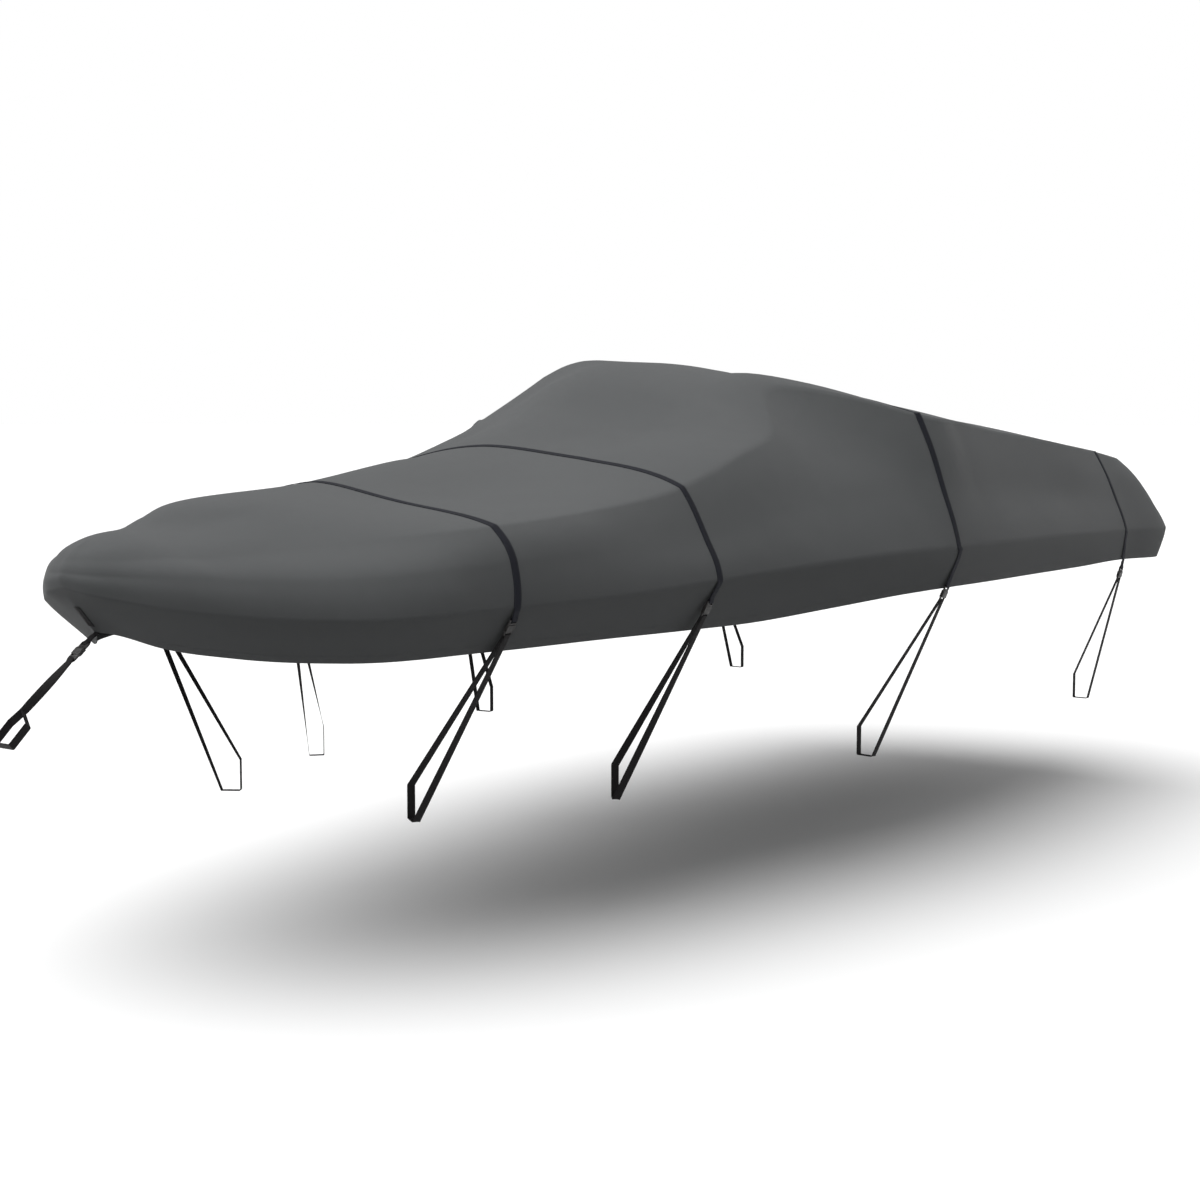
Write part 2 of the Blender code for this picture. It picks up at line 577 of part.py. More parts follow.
def place(template, name, origin, across, along, out):
    """A copy of a buckle half in world coordinates, so that its own transform stays plain."""
    if (np.cross(across, along) * out).sum() < 0:
        across = -across
    turn = np.stack([across, along, out], axis=1)
    points = [origin + turn @ np.array(v.co) for v in template.data.vertices]
    faces = [tuple(p.vertices) for p in template.data.polygons]
    obj = add_mesh(name, points, faces, BUCKLE_COLOUR, 0.4, False)
    face_out(obj)
    return obj


def place_buckle(templates, name, bar, across, along, out):
    """Both halves, with the insert's bar at the given place. Returns the housing's bar."""
    insert, housing, base_length, housing_length = templates
    mouth = bar + along * (base_length - BAR / 2)
    place(insert, f"{name}_insert", mouth, across, along, out)
    place(housing, f"{name}_housing", mouth, across, along, out)
    return mouth + along * (housing_length - BAR / 2)


# ---------------------------------------------------------------- tie-downs

def round_bar(bar, along, out, join):
    """From above the bar's near side, round its far side: along points to that far side."""
    h = BAR_DEPTH / 2 + BAR_CLEAR
    end = BAR / 2 + BAR_CLEAR
    near = bar - along * (BAR / 2 + 0.0005)
    upper = [bar - along * join + out * PLY, near + out * h,
             bar + along * (end - TURN) + out * h, bar + along * end + out * (h - TURN)]
    lower = [bar + along * end - out * (h - TURN), bar + along * (end - TURN) - out * h,
             near - out * h, bar - along * join - out * PLY]
    return upper + lower


def spaced(start, end, most):
    """Points between the two, without them, no further apart than the given distance."""
    steps = max(1, math.ceil(np.linalg.norm(end - start) / most))
    return [start + (end - start) * i / steps for i in range(1, steps)]


def seam_frames(outer, normal, column, rows):
    """Frames of the webbing that is sewn over the cloth, on one pair of columns."""
    frames = []
    for row in rows:
        a, b = outer[row, column], outer[row, column + 1]
        na, nb = normal[row, column], normal[row, column + 1]
        low, high = SEAM_GAP, SEAM_GAP + WEB
        frames.append([a + na * high, b + nb * high, b + nb * low, a + na * low])
    return frames


def rail_loop(name, bar, along, across, out, side, rail):
    """A closed loop from the housing's bar, round the rail: outer corner, under it, inner."""
    rail_x, rail_y, inner_x, inner_y = rail
    away = unit(np.array([rail_x - inner_x, (rail_y - inner_y) * side, 0.0])) * BAR_CLEAR
    foot = np.array([rail_x, rail_y * side, RAIL_BOTTOM - BAR_CLEAR]) + away
    heel = np.array([inner_x, inner_y * side, RAIL_BOTTOM - BAR_CLEAR]) - away
    top = heel + np.array([0.0, 0.0, RAIL_HEIGHT + BAR_CLEAR])
    lengthways = unit(np.array([away[1], -away[0], 0.0]))
    lengthways = lengthways if lengthways @ across > 0 else -lengthways
    turn = round_bar(bar, -along, out, 0.0)[1:-1]
    down, up = turn[0], turn[-1]
    corners = corner(down, foot, heel, LOOP_RADIUS) + corner(foot, heel, top, LOOP_RADIUS)
    corners += corner(heel, top, up, LOOP_RADIUS)
    path, widths = list(turn[::-1]), [across] * len(turn)
    for start, end, sign in ((path[-1], corners[0], 1), (corners[-1], up, -1)):
        if sign < 0:
            path += corners
            widths += [lengthways] * len(corners)
        between = spaced(start, end, LOOP_STEP)
        for i, point in enumerate(between):
            share = (i + 1) / (len(between) + 1)
            share = share if sign > 0 else 1 - share
            path.append(point)
            widths.append(across * (1 - share) + lengthways * share)
    return webbing(name, frames_along(path, widths, closed=True), closed=True)


def side_run(side, last, cloth, row):
    """Straight run from the knuckle toward the rail: its turn over the hem, bar and heading."""
    target = np.array([row[2], row[3] * side, RAIL_BOTTOM])
    hem = cloth[-1].mean(axis=0)
    turn = last + (target - last) * (last[2] - hem[2]) / (last[2] - target[2])
    turn[1] = side * max(side * turn[1], side * hem[1] + HEM_CLEAR)
    to_turn = np.linalg.norm(turn - last)
    reach = row[1] + BAR / 2
    if reach < to_turn:
        path, bar = [last], last + unit(turn - last) * reach
    else:
        path, bar = [last, turn], turn + unit(target - turn) * (reach - to_turn)
    # The buckle lies on the cloth, so it holds the webbing off by half its depth.
    wider = SWING * (cloth[:, 1] - cloth[:, 0])
    near = np.concatenate([cloth[:, 0] - wider, cloth[:, 1] + wider])
    for _ in range(4):
        heading = unit(target - bar)
        across = unit(np.array([1.0, 0.0, 0.0]) - heading[0] * heading)
        out = np.cross(heading, across)
        out = out if out[1] * side > 0 else -out
        along = (near - bar) @ heading
        under = near[(along > -REACH) & (along < BASE_LENGTH + HOUSING_LENGTH + REACH)]
        height = ((under - bar) @ out).max() if len(under) else -1.0
        bar = bar + out * max(0.0, height + BUCKLE_DEPTH / 2 + LIE)
    # Pulled tight, the webbing still bears on any cloth that stands out below the knuckle.
    ahead = path[1] if len(path) > 1 else bar
    along = unit(ahead - last)
    aside = unit(out - (out @ along) * along)
    for middle in cloth[2:].mean(axis=1):
        far, height = (middle - last) @ along, (middle - last) @ aside
        if height > -BEARING and far < np.linalg.norm(ahead - last) - TAIL:
            path.insert(1, middle + aside * BEARING)
            break
    path.insert(1, last + unit((path + [bar])[1] - last) * SEAM_END + aside * SEAM_LIFT)
    return path, bar, heading, across, out


def tie_down(number, row, cover, templates):
    """Webbing over the cover, with a buckle and a rail loop at each side."""
    outer, normal, rings, middle, pairs = cover
    column = pairs[number]
    low = int(np.argmin(np.abs(rings[: middle + 1] - 4)))
    frames = seam_frames(outer, normal, column, range(low, len(rings) - low))
    for side_name, side in SIDES:
        cloth = outer[: low + 2][::-1] if side < 0 else outer[-low - 2 :]
        if side < 0:
            frames = frames[::-1]
        last = np.mean(frames[-1], axis=0)
        strip = cloth[:, column : column + 2]
        path, bar, heading, across, out = side_run(side, last, strip, row)
        turn = round_bar(bar, heading, out, PLY_JOIN)
        back = unit(path[-1] - turn[0])
        aside = unit(out - (out @ back) * back)
        run = path + turn + [turn[0] + back * (TAIL - PLY_JOIN) - aside * 2 * PLY]
        lying = frames[-1][1] - frames[-1][0]
        lying = lying if lying[0] > 0 else -lying
        extra = frames_along(run, [lying] * len(path) + [across] * (len(turn) + 1))
        if (extra[0][1] - extra[0][0]) @ (frames[-1][1] - frames[-1][0]) < 0:
            extra = extra[:, [1, 0, 3, 2]]
        if (extra[0][0] - extra[0][3]) @ (frames[-1][0] - frames[-1][3]) < 0:
            extra = extra[:, [3, 2, 1, 0]]
        frames = list(frames) + list(extra[1:])
        name = f"{number + 1}_{side_name}"
        lower = place_buckle(templates, f"buckle{name}", bar, across, heading, out)
        rail_loop(f"rail_loop{name}", lower, heading, across, out, side, row[2:])
        if side < 0:
            frames = frames[::-1]
    return webbing(f"webbing{number + 1}", frames)


def stem_sections(surface, normal, rows, low, high):
    """Sections of webbing folded over the stem, between two heights above the surface."""
    sections = []
    for row in rows:
        centre, port = surface[row, 0], surface[row, 1]
        share = (WEB_WIDTH / 2) / abs(port[1] - centre[1])
        edge = centre + (port - centre) * share
        lean = unit(normal[row, 0] + (normal[row, 1] - normal[row, 0]) * share)
        near = [edge + lean * high, centre + normal[row, 0] * high]
        far = [centre + normal[row, 0] * low, edge + lean * low]
        flip = np.array([1.0, -1.0, 1.0])
        sections.append([near[0], near[1], near[0] * flip, far[1] * flip, far[0], far[1]])
    return sections


def bow_strap(outer, inner, normal, rings, templates):
    """A patch on the stem, the strap sewn inside it, its buckle, and the post's loop."""
    rows = [r for r in range(len(rings) // 2) if BOW_PATCH[0] <= rings[r] <= BOW_PATCH[1]]
    webbing("bow_patch", stem_sections(outer, normal, rows, STEM_GAP, STEM_GAP + WEB))
    rows = [r for r in range(len(rings) // 2) if rings[r] >= BOW_PATCH[0]]
    inside = stem_sections(inner, normal, rows, -STEM_GAP - WEB, -STEM_GAP)[::-1]

    start, split = np.array(BOW_LINE[0]), np.array(BOW_LINE[1])
    down = unit(split - start)
    across = np.array([0.0, 1.0, 0.0])
    out = unit(np.array([down[2], 0.0, -down[0]]))
    bar = start + down * BOW_TO_BAR
    run = [start, start + down * TAB_DROP]
    run += round_bar(bar, down, out, BOW_JOIN) + [bar - down * BOW_TAIL - out * PLY]
    flat = frames_along(run, across)
    loose = inside[-1] + np.array([0.0, 0.0, -TAB_DROP])
    loose[[1, 4]] += np.array([TAB_SPREAD, 0.0, 0.0])
    open_frames = [[f[0], (f[0] + f[1]) / 2, f[1], f[2], (f[2] + f[3]) / 2, f[3]] for f in flat]
    webbing("bow_tab", np.concatenate([inside, loose[None], open_frames]))

    lower = place_buckle(templates, "bow_buckle", bar, across, down, out)
    turn = round_bar(lower, -down, out, LOOP_JOIN)
    total = np.linalg.norm(split - lower)
    upper_path, lower_path, widths = [], [], []
    for i in range(1, BOW_STEPS + 1):
        s = LOOP_JOIN + (total - LOOP_JOIN) * i / BOW_STEPS
        angle = math.radians(90) * (i / BOW_STEPS)
        facing = out * math.cos(angle) - across * math.sin(angle)
        widths.append(across * math.cos(angle) + out * math.sin(angle))
        upper_path.append(lower + down * s + facing * PLY)
        lower_path.append(lower + down * s - facing * PLY)
    post = np.array([[x, y * POST_WIDTH / 2, z] for x, y, z in POST_CORNERS])
    around = [upper_path[-1], *post, lower_path[-1]]
    corners = []
    for i in range(1, len(around) - 1):
        corners += corner(around[i - 1], around[i], around[i + 1], LOOP_RADIUS)
    axis = unit(np.cross(post[1] - post[0], across))
    axis = axis if axis @ widths[-1] > 0 else -axis
    path = turn[::-1] + upper_path + corners + lower_path[::-1]
    all_widths = [across] * len(turn) + widths + [axis] * len(corners) + widths[::-1]
    webbing("bow_loop", frames_along(path, all_widths, closed=True), closed=True)


def main():
    clear_scene()
    outer, inner, normal, rings, middle, pairs = cover_points()
    points, faces = grid_shell(outer, inner)
    cover = add_mesh("cover", points, faces, CLOTH_COLOUR, 0.9, True)
    face_out(cover)
    side_buckle = (buckle_insert("insert", BASE_LENGTH),
                   buckle_housing("housing", HOUSING_LENGTH, 1), BASE_LENGTH, HOUSING_LENGTH)
    bow_buckle = (buckle_insert("bow_insert", BOW_BASE),
                  buckle_housing("bow_housing", BOW_HOUSING, 2), BOW_BASE, BOW_HOUSING)
    for number, row in enumerate(STRAPS):
        tie_down(number, row, (outer, normal, rings, middle, pairs), side_buckle)
    bow_strap(outer, inner, normal, rings, bow_buckle)
    for template in (*side_buckle[:2], *bow_buckle[:2]):
        bpy.data.objects.remove(template, do_unlink=True)
    for obj in bpy.data.objects:
        obj.data.transform(Matrix.Translation(-ORIGIN))


main()
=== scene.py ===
import math

import bmesh
import bpy
import numpy as np
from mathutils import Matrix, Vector


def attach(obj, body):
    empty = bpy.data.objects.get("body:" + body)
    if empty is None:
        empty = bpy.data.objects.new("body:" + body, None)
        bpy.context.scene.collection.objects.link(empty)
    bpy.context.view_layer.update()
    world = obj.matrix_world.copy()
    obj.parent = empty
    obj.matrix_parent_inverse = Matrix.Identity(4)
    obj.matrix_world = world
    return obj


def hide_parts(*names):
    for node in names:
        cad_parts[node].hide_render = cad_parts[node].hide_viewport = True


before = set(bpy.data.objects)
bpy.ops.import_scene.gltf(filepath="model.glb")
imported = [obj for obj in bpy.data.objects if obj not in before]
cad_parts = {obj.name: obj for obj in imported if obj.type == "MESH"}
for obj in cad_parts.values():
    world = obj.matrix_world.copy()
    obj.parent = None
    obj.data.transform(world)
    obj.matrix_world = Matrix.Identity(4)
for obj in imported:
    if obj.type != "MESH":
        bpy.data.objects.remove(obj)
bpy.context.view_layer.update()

print("frame loaded:", len(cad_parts), "nodes")


def unit(v):
    v = np.asarray(v, float)
    length = np.linalg.norm(v, axis=-1, keepdims=True)
    return v / np.where(length < 1e-12, 1.0, length)


def meshObject(name, points, faces, materials, faceMaterial=None, uv=None, smooth=True):
    mesh = bpy.data.meshes.new(name)
    mesh.from_pydata([tuple(map(float, p)) for p in points], [], faces)
    for material in materials:
        mesh.materials.append(material)
    if uv is not None:
        layer = mesh.uv_layers.new(name="flat")
        layer.data.foreach_set("uv", np.asarray(uv, np.float32).ravel())
    if faceMaterial is not None:
        mesh.polygons.foreach_set("material_index", faceMaterial)
    mesh.polygons.foreach_set("use_smooth", [smooth] * len(mesh.polygons))
    mesh.update()
    obj = bpy.data.objects.new(name, mesh)
    bpy.context.scene.collection.objects.link(obj)
    return obj


def faceOutward(obj, mixed=True):
    work = bmesh.new()
    work.from_mesh(obj.data)
    if mixed:
        bmesh.ops.recalc_face_normals(work, faces=work.faces)
    if work.calc_volume(signed=True) < 0:
        bmesh.ops.reverse_faces(work, faces=work.faces)
    work.to_mesh(obj.data)
    work.free()
    obj.data.update()


def finishedMesh(obj):
    bpy.context.view_layer.update()
    graph = bpy.context.evaluated_depsgraph_get()
    mesh = bpy.data.meshes.new_from_object(obj.evaluated_get(graph))
    obj.modifiers.clear()
    obj.data = mesh
    return obj


photoView = {
    "place": (-6.249, -4.511, -0.207),
    "heading": 37.376,       # degrees from +X toward +Y
    "pitch": -5.193,
    "lens": 60.0,
    "sensor": 36.0,
}
ground = {"height": -1.863, "reach": 400.0, "tone": 0.93}
# Suns, so that the whole floor is lit alike: name, toward the light, power, width in degrees
lights = (
    ("softKey", (-0.34, 0.18, 0.92), 3.1, 80.0),
    ("softFill", (-0.30, -0.80, 0.52), 0.15, 80.0),
)
# Strength of the dome straight up, at the horizon and below it, and of what the camera sees
sky = {"above": 0.50, "horizon": 0.20, "below": 0.45, "behind": 1.0}


def addCamera():
    data = bpy.data.cameras.new("photoCamera")
    data.lens = photoView["lens"]
    data.sensor_width = photoView["sensor"]
    data.clip_end = 1000.0
    camera = bpy.data.objects.new("photoCamera", data)
    camera.location = photoView["place"]
    camera.rotation_euler = (
        math.radians(90 + photoView["pitch"]), 0.0, math.radians(photoView["heading"] - 90))
    bpy.context.scene.collection.objects.link(camera)
    bpy.context.scene.camera = camera


def addLights():
    for name, toward, power, width in lights:
        data = bpy.data.lights.new(name, "SUN")
        data.energy = power
        data.angle = math.radians(width)
        lamp = bpy.data.objects.new(name, data)
        lamp.rotation_euler = Vector(toward).to_track_quat("Z", "Y").to_euler()
        bpy.context.scene.collection.objects.link(lamp)
    # A dome that is brighter overhead, and a plain white sweep behind the object.
    world = bpy.data.worlds.new("paleStudio")
    world.use_nodes = True
    tree = world.node_tree
    dome, output = tree.nodes["Background"], tree.nodes["World Output"]
    place = addNode(tree, "ShaderNodeTexCoord", (-700, 0))
    split = addNode(tree, "ShaderNodeSeparateXYZ", (-520, 0), Vector=place.outputs["Generated"])
    upper = spanBetween(tree, (-340, 80), split.outputs["Z"], 0.0, sky["above"] - sky["horizon"])
    depth = mathNode(tree, "MULTIPLY", (-440, -120), split.outputs["Z"], -1.0)
    lower = spanBetween(tree, (-340, -120), depth, sky["horizon"], sky["below"])
    tree.links.new(mathNode(tree, "ADD", (-160, 0), upper, lower), dome.inputs["Strength"])
    sweep = addNode(tree, "ShaderNodeBackground", (0, -200), Strength=sky["behind"])
    for shade in (dome, sweep):
        shade.inputs["Color"].default_value = (1.0, 1.0, 1.0, 1.0)
    rays = addNode(tree, "ShaderNodeLightPath", (0, 300))
    both = addNode(tree, "ShaderNodeMixShader", (220, 0))
    tree.links.new(rays.outputs["Is Camera Ray"], both.inputs[0])
    tree.links.new(dome.outputs[0], both.inputs[1])
    tree.links.new(sweep.outputs[0], both.inputs[2])
    tree.links.new(both.outputs[0], output.inputs["Surface"])
    bpy.context.scene.world = world
    bpy.context.scene.view_settings.view_transform = "Standard"


def addFloor():
    reach, height = ground["reach"], ground["height"]
    corners = [(x, y, height) for x, y in
               ((-reach, -reach), (reach, -reach), (reach, reach), (-reach, reach))]
    floor = meshObject("studioFloor", corners, [(0, 1, 2, 3)], [floorMaterial()], smooth=False)
    floor.visible_diffuse = False    # the dome's lower half lights the object from below instead


def addNode(tree, kind, at, **values):
    node = tree.nodes.new(kind)
    node.location = at
    for key, value in values.items():
        if hasattr(node, key):
            setattr(node, key, value)
        elif isinstance(value, bpy.types.NodeSocket):
            tree.links.new(value, node.inputs[key.replace("_", " ")])
        else:
            node.inputs[key.replace("_", " ")].default_value = value
    return node


def mathNode(tree, operation, at, first, second=None, clamp=False):
    node = addNode(tree, "ShaderNodeMath", at, operation=operation, use_clamp=clamp)
    for socket, value in zip(node.inputs, (first, second)):
        if value is None:
            continue
        if isinstance(value, (int, float)):
            socket.default_value = value
        else:
            tree.links.new(value, socket)
    return node.outputs[0]


def newGroup(name, inputs, outputs):
    tree = bpy.data.node_groups.new(name, "ShaderNodeTree")
    for label, kind, value in inputs:
        socket = tree.interface.new_socket(label, in_out="INPUT", socket_type=kind)
        if value is not None:
            socket.default_value = value
    for label, kind in outputs:
        tree.interface.new_socket(label, in_out="OUTPUT", socket_type=kind)
    source = addNode(tree, "NodeGroupInput", (-900, 0))
    return tree, source, addNode(tree, "NodeGroupOutput", (900, 0))


def useGroup(tree, group, at, vector, **values):
    return addNode(tree, "ShaderNodeGroup", at, node_tree=group, Vector=vector, **values)


def plainWeaveGroup():
    tree, source, result = newGroup(
        "plainWeave",
        (("Vector", "NodeSocketVector", None), ("Thread", "NodeSocketFloat", 0.001),
         ("Unevenness", "NodeSocketFloat", 0.2)),
        (("Height", "NodeSocketFloat"), ("Tone", "NodeSocketFloat")))
    link = tree.links.new
    perMetre = mathNode(tree, "DIVIDE", (-720, -160), 1.0, source.outputs["Thread"])
    scaled = addNode(tree, "ShaderNodeVectorMath", (-560, 0), operation="SCALE",
                     Vector=source.outputs["Vector"], Scale=perMetre)
    split = addNode(tree, "ShaderNodeSeparateXYZ", (-400, 0), Vector=scaled.outputs[0])
    waves = []
    for i, axis in enumerate(("X", "Y")):
        turn = mathNode(tree, "MULTIPLY", (-240, -160 * i), split.outputs[axis], math.pi)
        waves.append(mathNode(tree, "SINE", (-80, -160 * i), turn))
    warp = mathNode(tree, "ABSOLUTE", (80, 0), waves[0])
    weft = mathNode(tree, "ABSOLUTE", (80, -160), waves[1])
    both = mathNode(tree, "MULTIPLY", (80, 160), waves[0], waves[1])
    over = mathNode(tree, "MULTIPLY_ADD", (240, 160), both, 2.5, clamp=True)
    over.node.inputs[2].default_value = 0.5
    mixed = addNode(tree, "ShaderNodeMix", (420, 0), data_type="FLOAT",
                    Factor=over, A=weft, B=warp)
    slub = addNode(tree, "ShaderNodeTexNoise", (-240, -400), Vector=scaled.outputs[0],
                   Scale=0.11, Detail=3.0)
    uneven = mathNode(tree, "MULTIPLY", (420, -300), slub.outputs[0], source.outputs["Unevenness"])
    link(mathNode(tree, "ADD", (640, 0), mixed.outputs[0], uneven), result.inputs["Height"])
    link(slub.outputs[0], result.inputs["Tone"])
    return tree


def ribbedWeaveGroup():
    tree, source, result = newGroup(
        "ribbedWeave",
        (("Vector", "NodeSocketVector", None), ("Rib", "NodeSocketFloat", 0.0016),
         ("Column", "NodeSocketFloat", 0.005)),
        (("Height", "NodeSocketFloat"), ("Tone", "NodeSocketFloat")))
    link = tree.links.new
    split = addNode(tree, "ShaderNodeSeparateXYZ", (-700, 0), Vector=source.outputs["Vector"])
    ribs = mathNode(tree, "DIVIDE", (-500, 100), split.outputs["X"], source.outputs["Rib"])
    columns = mathNode(tree, "DIVIDE", (-500, -100), split.outputs["Y"], source.outputs["Column"])
    zigzag = mathNode(tree, "PINGPONG", (-300, -100), columns, 0.5)
    slant = mathNode(tree, "MULTIPLY", (-140, -100), zigzag, 3.0)
    phase = mathNode(tree, "ADD", (20, 0), ribs, slant)
    wave = mathNode(tree, "SINE", (180, 0), mathNode(tree, "MULTIPLY", (100, 0), phase, math.pi))
    rib = mathNode(tree, "ABSOLUTE", (340, 0), wave)
    groove = mathNode(tree, "MULTIPLY", (180, -200), zigzag, 12.0, clamp=True)
    link(mathNode(tree, "MULTIPLY", (520, 0), rib, groove), result.inputs["Height"])
    # Tone is painted light: the ribs' crests come out lighter and the grooves between them darker,
    # a painted highlight and painted shade.
    link(rib, result.inputs["Tone"])
    return tree


def mottleGroup():
    tree, source, result = newGroup(
        "mottle",
        (("Vector", "NodeSocketVector", None), ("Patch", "NodeSocketFloat", 0.3),
         ("Contrast", "NodeSocketFloat", 0.5)),
        (("Tone", "NodeSocketFloat"),))
    scale = mathNode(tree, "DIVIDE", (-600, -160), 1.0, source.outputs["Patch"])
    noise = addNode(tree, "ShaderNodeTexNoise", (-400, 0), Vector=source.outputs["Vector"],
                    Scale=scale, Detail=4.0, Roughness=0.55)
    centred = mathNode(tree, "SUBTRACT", (-200, 0), noise.outputs[0], 0.5)
    strong = mathNode(tree, "MULTIPLY", (0, 0), centred, source.outputs["Contrast"])
    tone = mathNode(tree, "ADD", (200, 0), strong, 0.5, clamp=True)
    tree.links.new(tone, result.inputs["Tone"])
    return tree


def newMaterial(name, roughness, **plain):
    material = bpy.data.materials.new(name)
    material.use_nodes = True
    tree = material.node_tree
    shader = tree.nodes["Principled BSDF"]
    shader.inputs["Roughness"].default_value = roughness
    for key, value in plain.items():
        shader.inputs[key.replace("_", " ")].default_value = value
    return material, tree, shader


def toneBetween(tree, at, factor, dark, light):
    mix = addNode(tree, "ShaderNodeMix", at, data_type="RGBA", Factor=factor)
    mix.inputs[6].default_value = (*dark, 1.0)
    mix.inputs[7].default_value = (*light, 1.0)
    return mix.outputs[2]


def spanBetween(tree, at, factor, low, high):
    return addNode(tree, "ShaderNodeMapRange", at, Value=factor, To_Min=low, To_Max=high).outputs[0]


def finishSurface(tree, shader, tone, look, roughTone, rough, normal=None):
    colour = toneBetween(tree, (-300, 200), tone, look["dark"], look["light"])
    tree.links.new(colour, shader.inputs["Base Color"])
    tree.links.new(spanBetween(tree, (-300, 0), roughTone, *rough), shader.inputs["Roughness"])
    if normal is not None:
        tree.links.new(normal, shader.inputs["Normal"])


def addBump(tree, at, height, distance, **values):
    values.update(Height=height, Distance=distance)
    return addNode(tree, "ShaderNodeBump", at, **values).outputs[0]


clothLook = {
    "dark": (0.066, 0.069, 0.071),
    "light": (0.089, 0.093, 0.095),
    "thread": 0.0009,
    "patch": 0.55,
}
coatingLook = {**clothLook, "dark": (0.078, 0.081, 0.083)}   # the inner face
webbingLook = {
    "dark": (0.004, 0.0045, 0.008),
    "light": (0.012, 0.0135, 0.024),
    "rib": 0.0016,
    "column": 0.0052,
}
looseLook = {"dark": (0.004, 0.0035, 0.004), "light": (0.018, 0.0155, 0.017)}
buckleLook = {"dark": (0.010, 0.009, 0.009), "light": (0.024, 0.022, 0.021)}
threadLook = {"dark": (0.008, 0.009, 0.014), "light": (0.034, 0.037, 0.048)}
hemThreadLook = {"dark": (0.050, 0.053, 0.056), "light": (0.100, 0.104, 0.108)}


def clothMaterial(name, weave, mottle, look, sheen):
    material, tree, shader = newMaterial(
        name, 0.85, Sheen_Weight=sheen, Sheen_Roughness=0.45, Specular_IOR_Level=0.32)
    place = addNode(tree, "ShaderNodeTexCoord", (-1300, 0))
    threads = useGroup(tree, weave, (-900, -200), place.outputs["UV"],
                       Thread=clothLook["thread"], Unevenness=0.35)
    broad = useGroup(tree, mottle, (-900, 200), place.outputs["Object"],
                     Patch=clothLook["patch"], Contrast=1.3)
    fine = useGroup(tree, mottle, (-900, 0), place.outputs["Object"], Patch=0.035, Contrast=0.9)
    both = mathNode(tree, "ADD", (-700, 100), broad.outputs["Tone"], fine.outputs["Tone"])
    tone = mathNode(tree, "MULTIPLY", (-560, 100), both, 0.5)
    lit = mathNode(tree, "MULTIPLY_ADD", (-400, 100), threads.outputs["Height"], 0.30, clamp=True)
    tree.links.new(tone, lit.node.inputs[2])
    # Slack cloth is never quite flat between its seams.
    slack = addNode(tree, "ShaderNodeTexNoise", (-900, -450), Vector=place.outputs["Object"],
                    Scale=7.0, Detail=2.0, Roughness=0.4)
    waves = addBump(tree, (-500, -400), slack.outputs[0], 0.006, Strength=0.5)
    bump = addBump(tree, (-250, -300), threads.outputs["Height"], 0.00025, Strength=0.8,
                   Normal=waves)
    finishSurface(tree, shader, lit, look, fine.outputs["Tone"], (0.78, 0.92), bump)
    return material


def webbingMaterial(name, ribs, mottle, look):
    material, tree, shader = newMaterial(
        name, 0.7, Sheen_Weight=0.04, Sheen_Roughness=0.4, Specular_IOR_Level=0.22)
    place = addNode(tree, "ShaderNodeTexCoord", (-1200, 0))
    weave = useGroup(tree, ribs, (-900, 0), place.outputs["UV"],
                     Rib=webbingLook["rib"], Column=webbingLook["column"])
    dust = useGroup(tree, mottle, (-900, 250), place.outputs["Object"], Patch=0.08, Contrast=1.2)
    # The colour is the ribs' painted highlight and painted shade, times a random dust tone.
    tone = mathNode(tree, "MULTIPLY", (-600, 150), weave.outputs["Tone"], dust.outputs["Tone"])
    bump = addBump(tree, (-300, -250), weave.outputs["Height"], 0.00035)
    finishSurface(tree, shader, tone, look, dust.outputs["Tone"], (0.60, 0.80), bump)
    return material


def mouldedMaterial(name, mottle, look):
    material, tree, shader = newMaterial(name, 0.42, Specular_IOR_Level=0.5)
    place = addNode(tree, "ShaderNodeTexCoord", (-1000, 0))
    scuffs = useGroup(tree, mottle, (-700, 150), place.outputs["Object"], Patch=0.006, Contrast=1.2)
    grain = useGroup(tree, mottle, (-700, -100), place.outputs["Object"],
                     Patch=0.0007, Contrast=1.0)
    bump = addBump(tree, (-300, -200), grain.outputs["Tone"], 0.00008)
    finishSurface(tree, shader, scuffs.outputs["Tone"], look, scuffs.outputs["Tone"],
                  (0.34, 0.52), bump)
    return material


def threadMaterial(name, mottle, look):
    material, tree, shader = newMaterial(name, 0.6, Sheen_Weight=0.1)
    place = addNode(tree, "ShaderNodeTexCoord", (-900, 0))
    twist = useGroup(tree, mottle, (-600, 0), place.outputs["Object"], Patch=0.0012, Contrast=1.8)
    finishSurface(tree, shader, twist.outputs["Tone"], look, twist.outputs["Tone"], (0.5, 0.75))
    return material


def floorMaterial():
    tone = ground["tone"]
    material, _, shader = newMaterial("paleFloor", 0.9, Specular_IOR_Level=0.1)
    shader.inputs["Base Color"].default_value = (tone, tone, tone, 1.0)
    return material
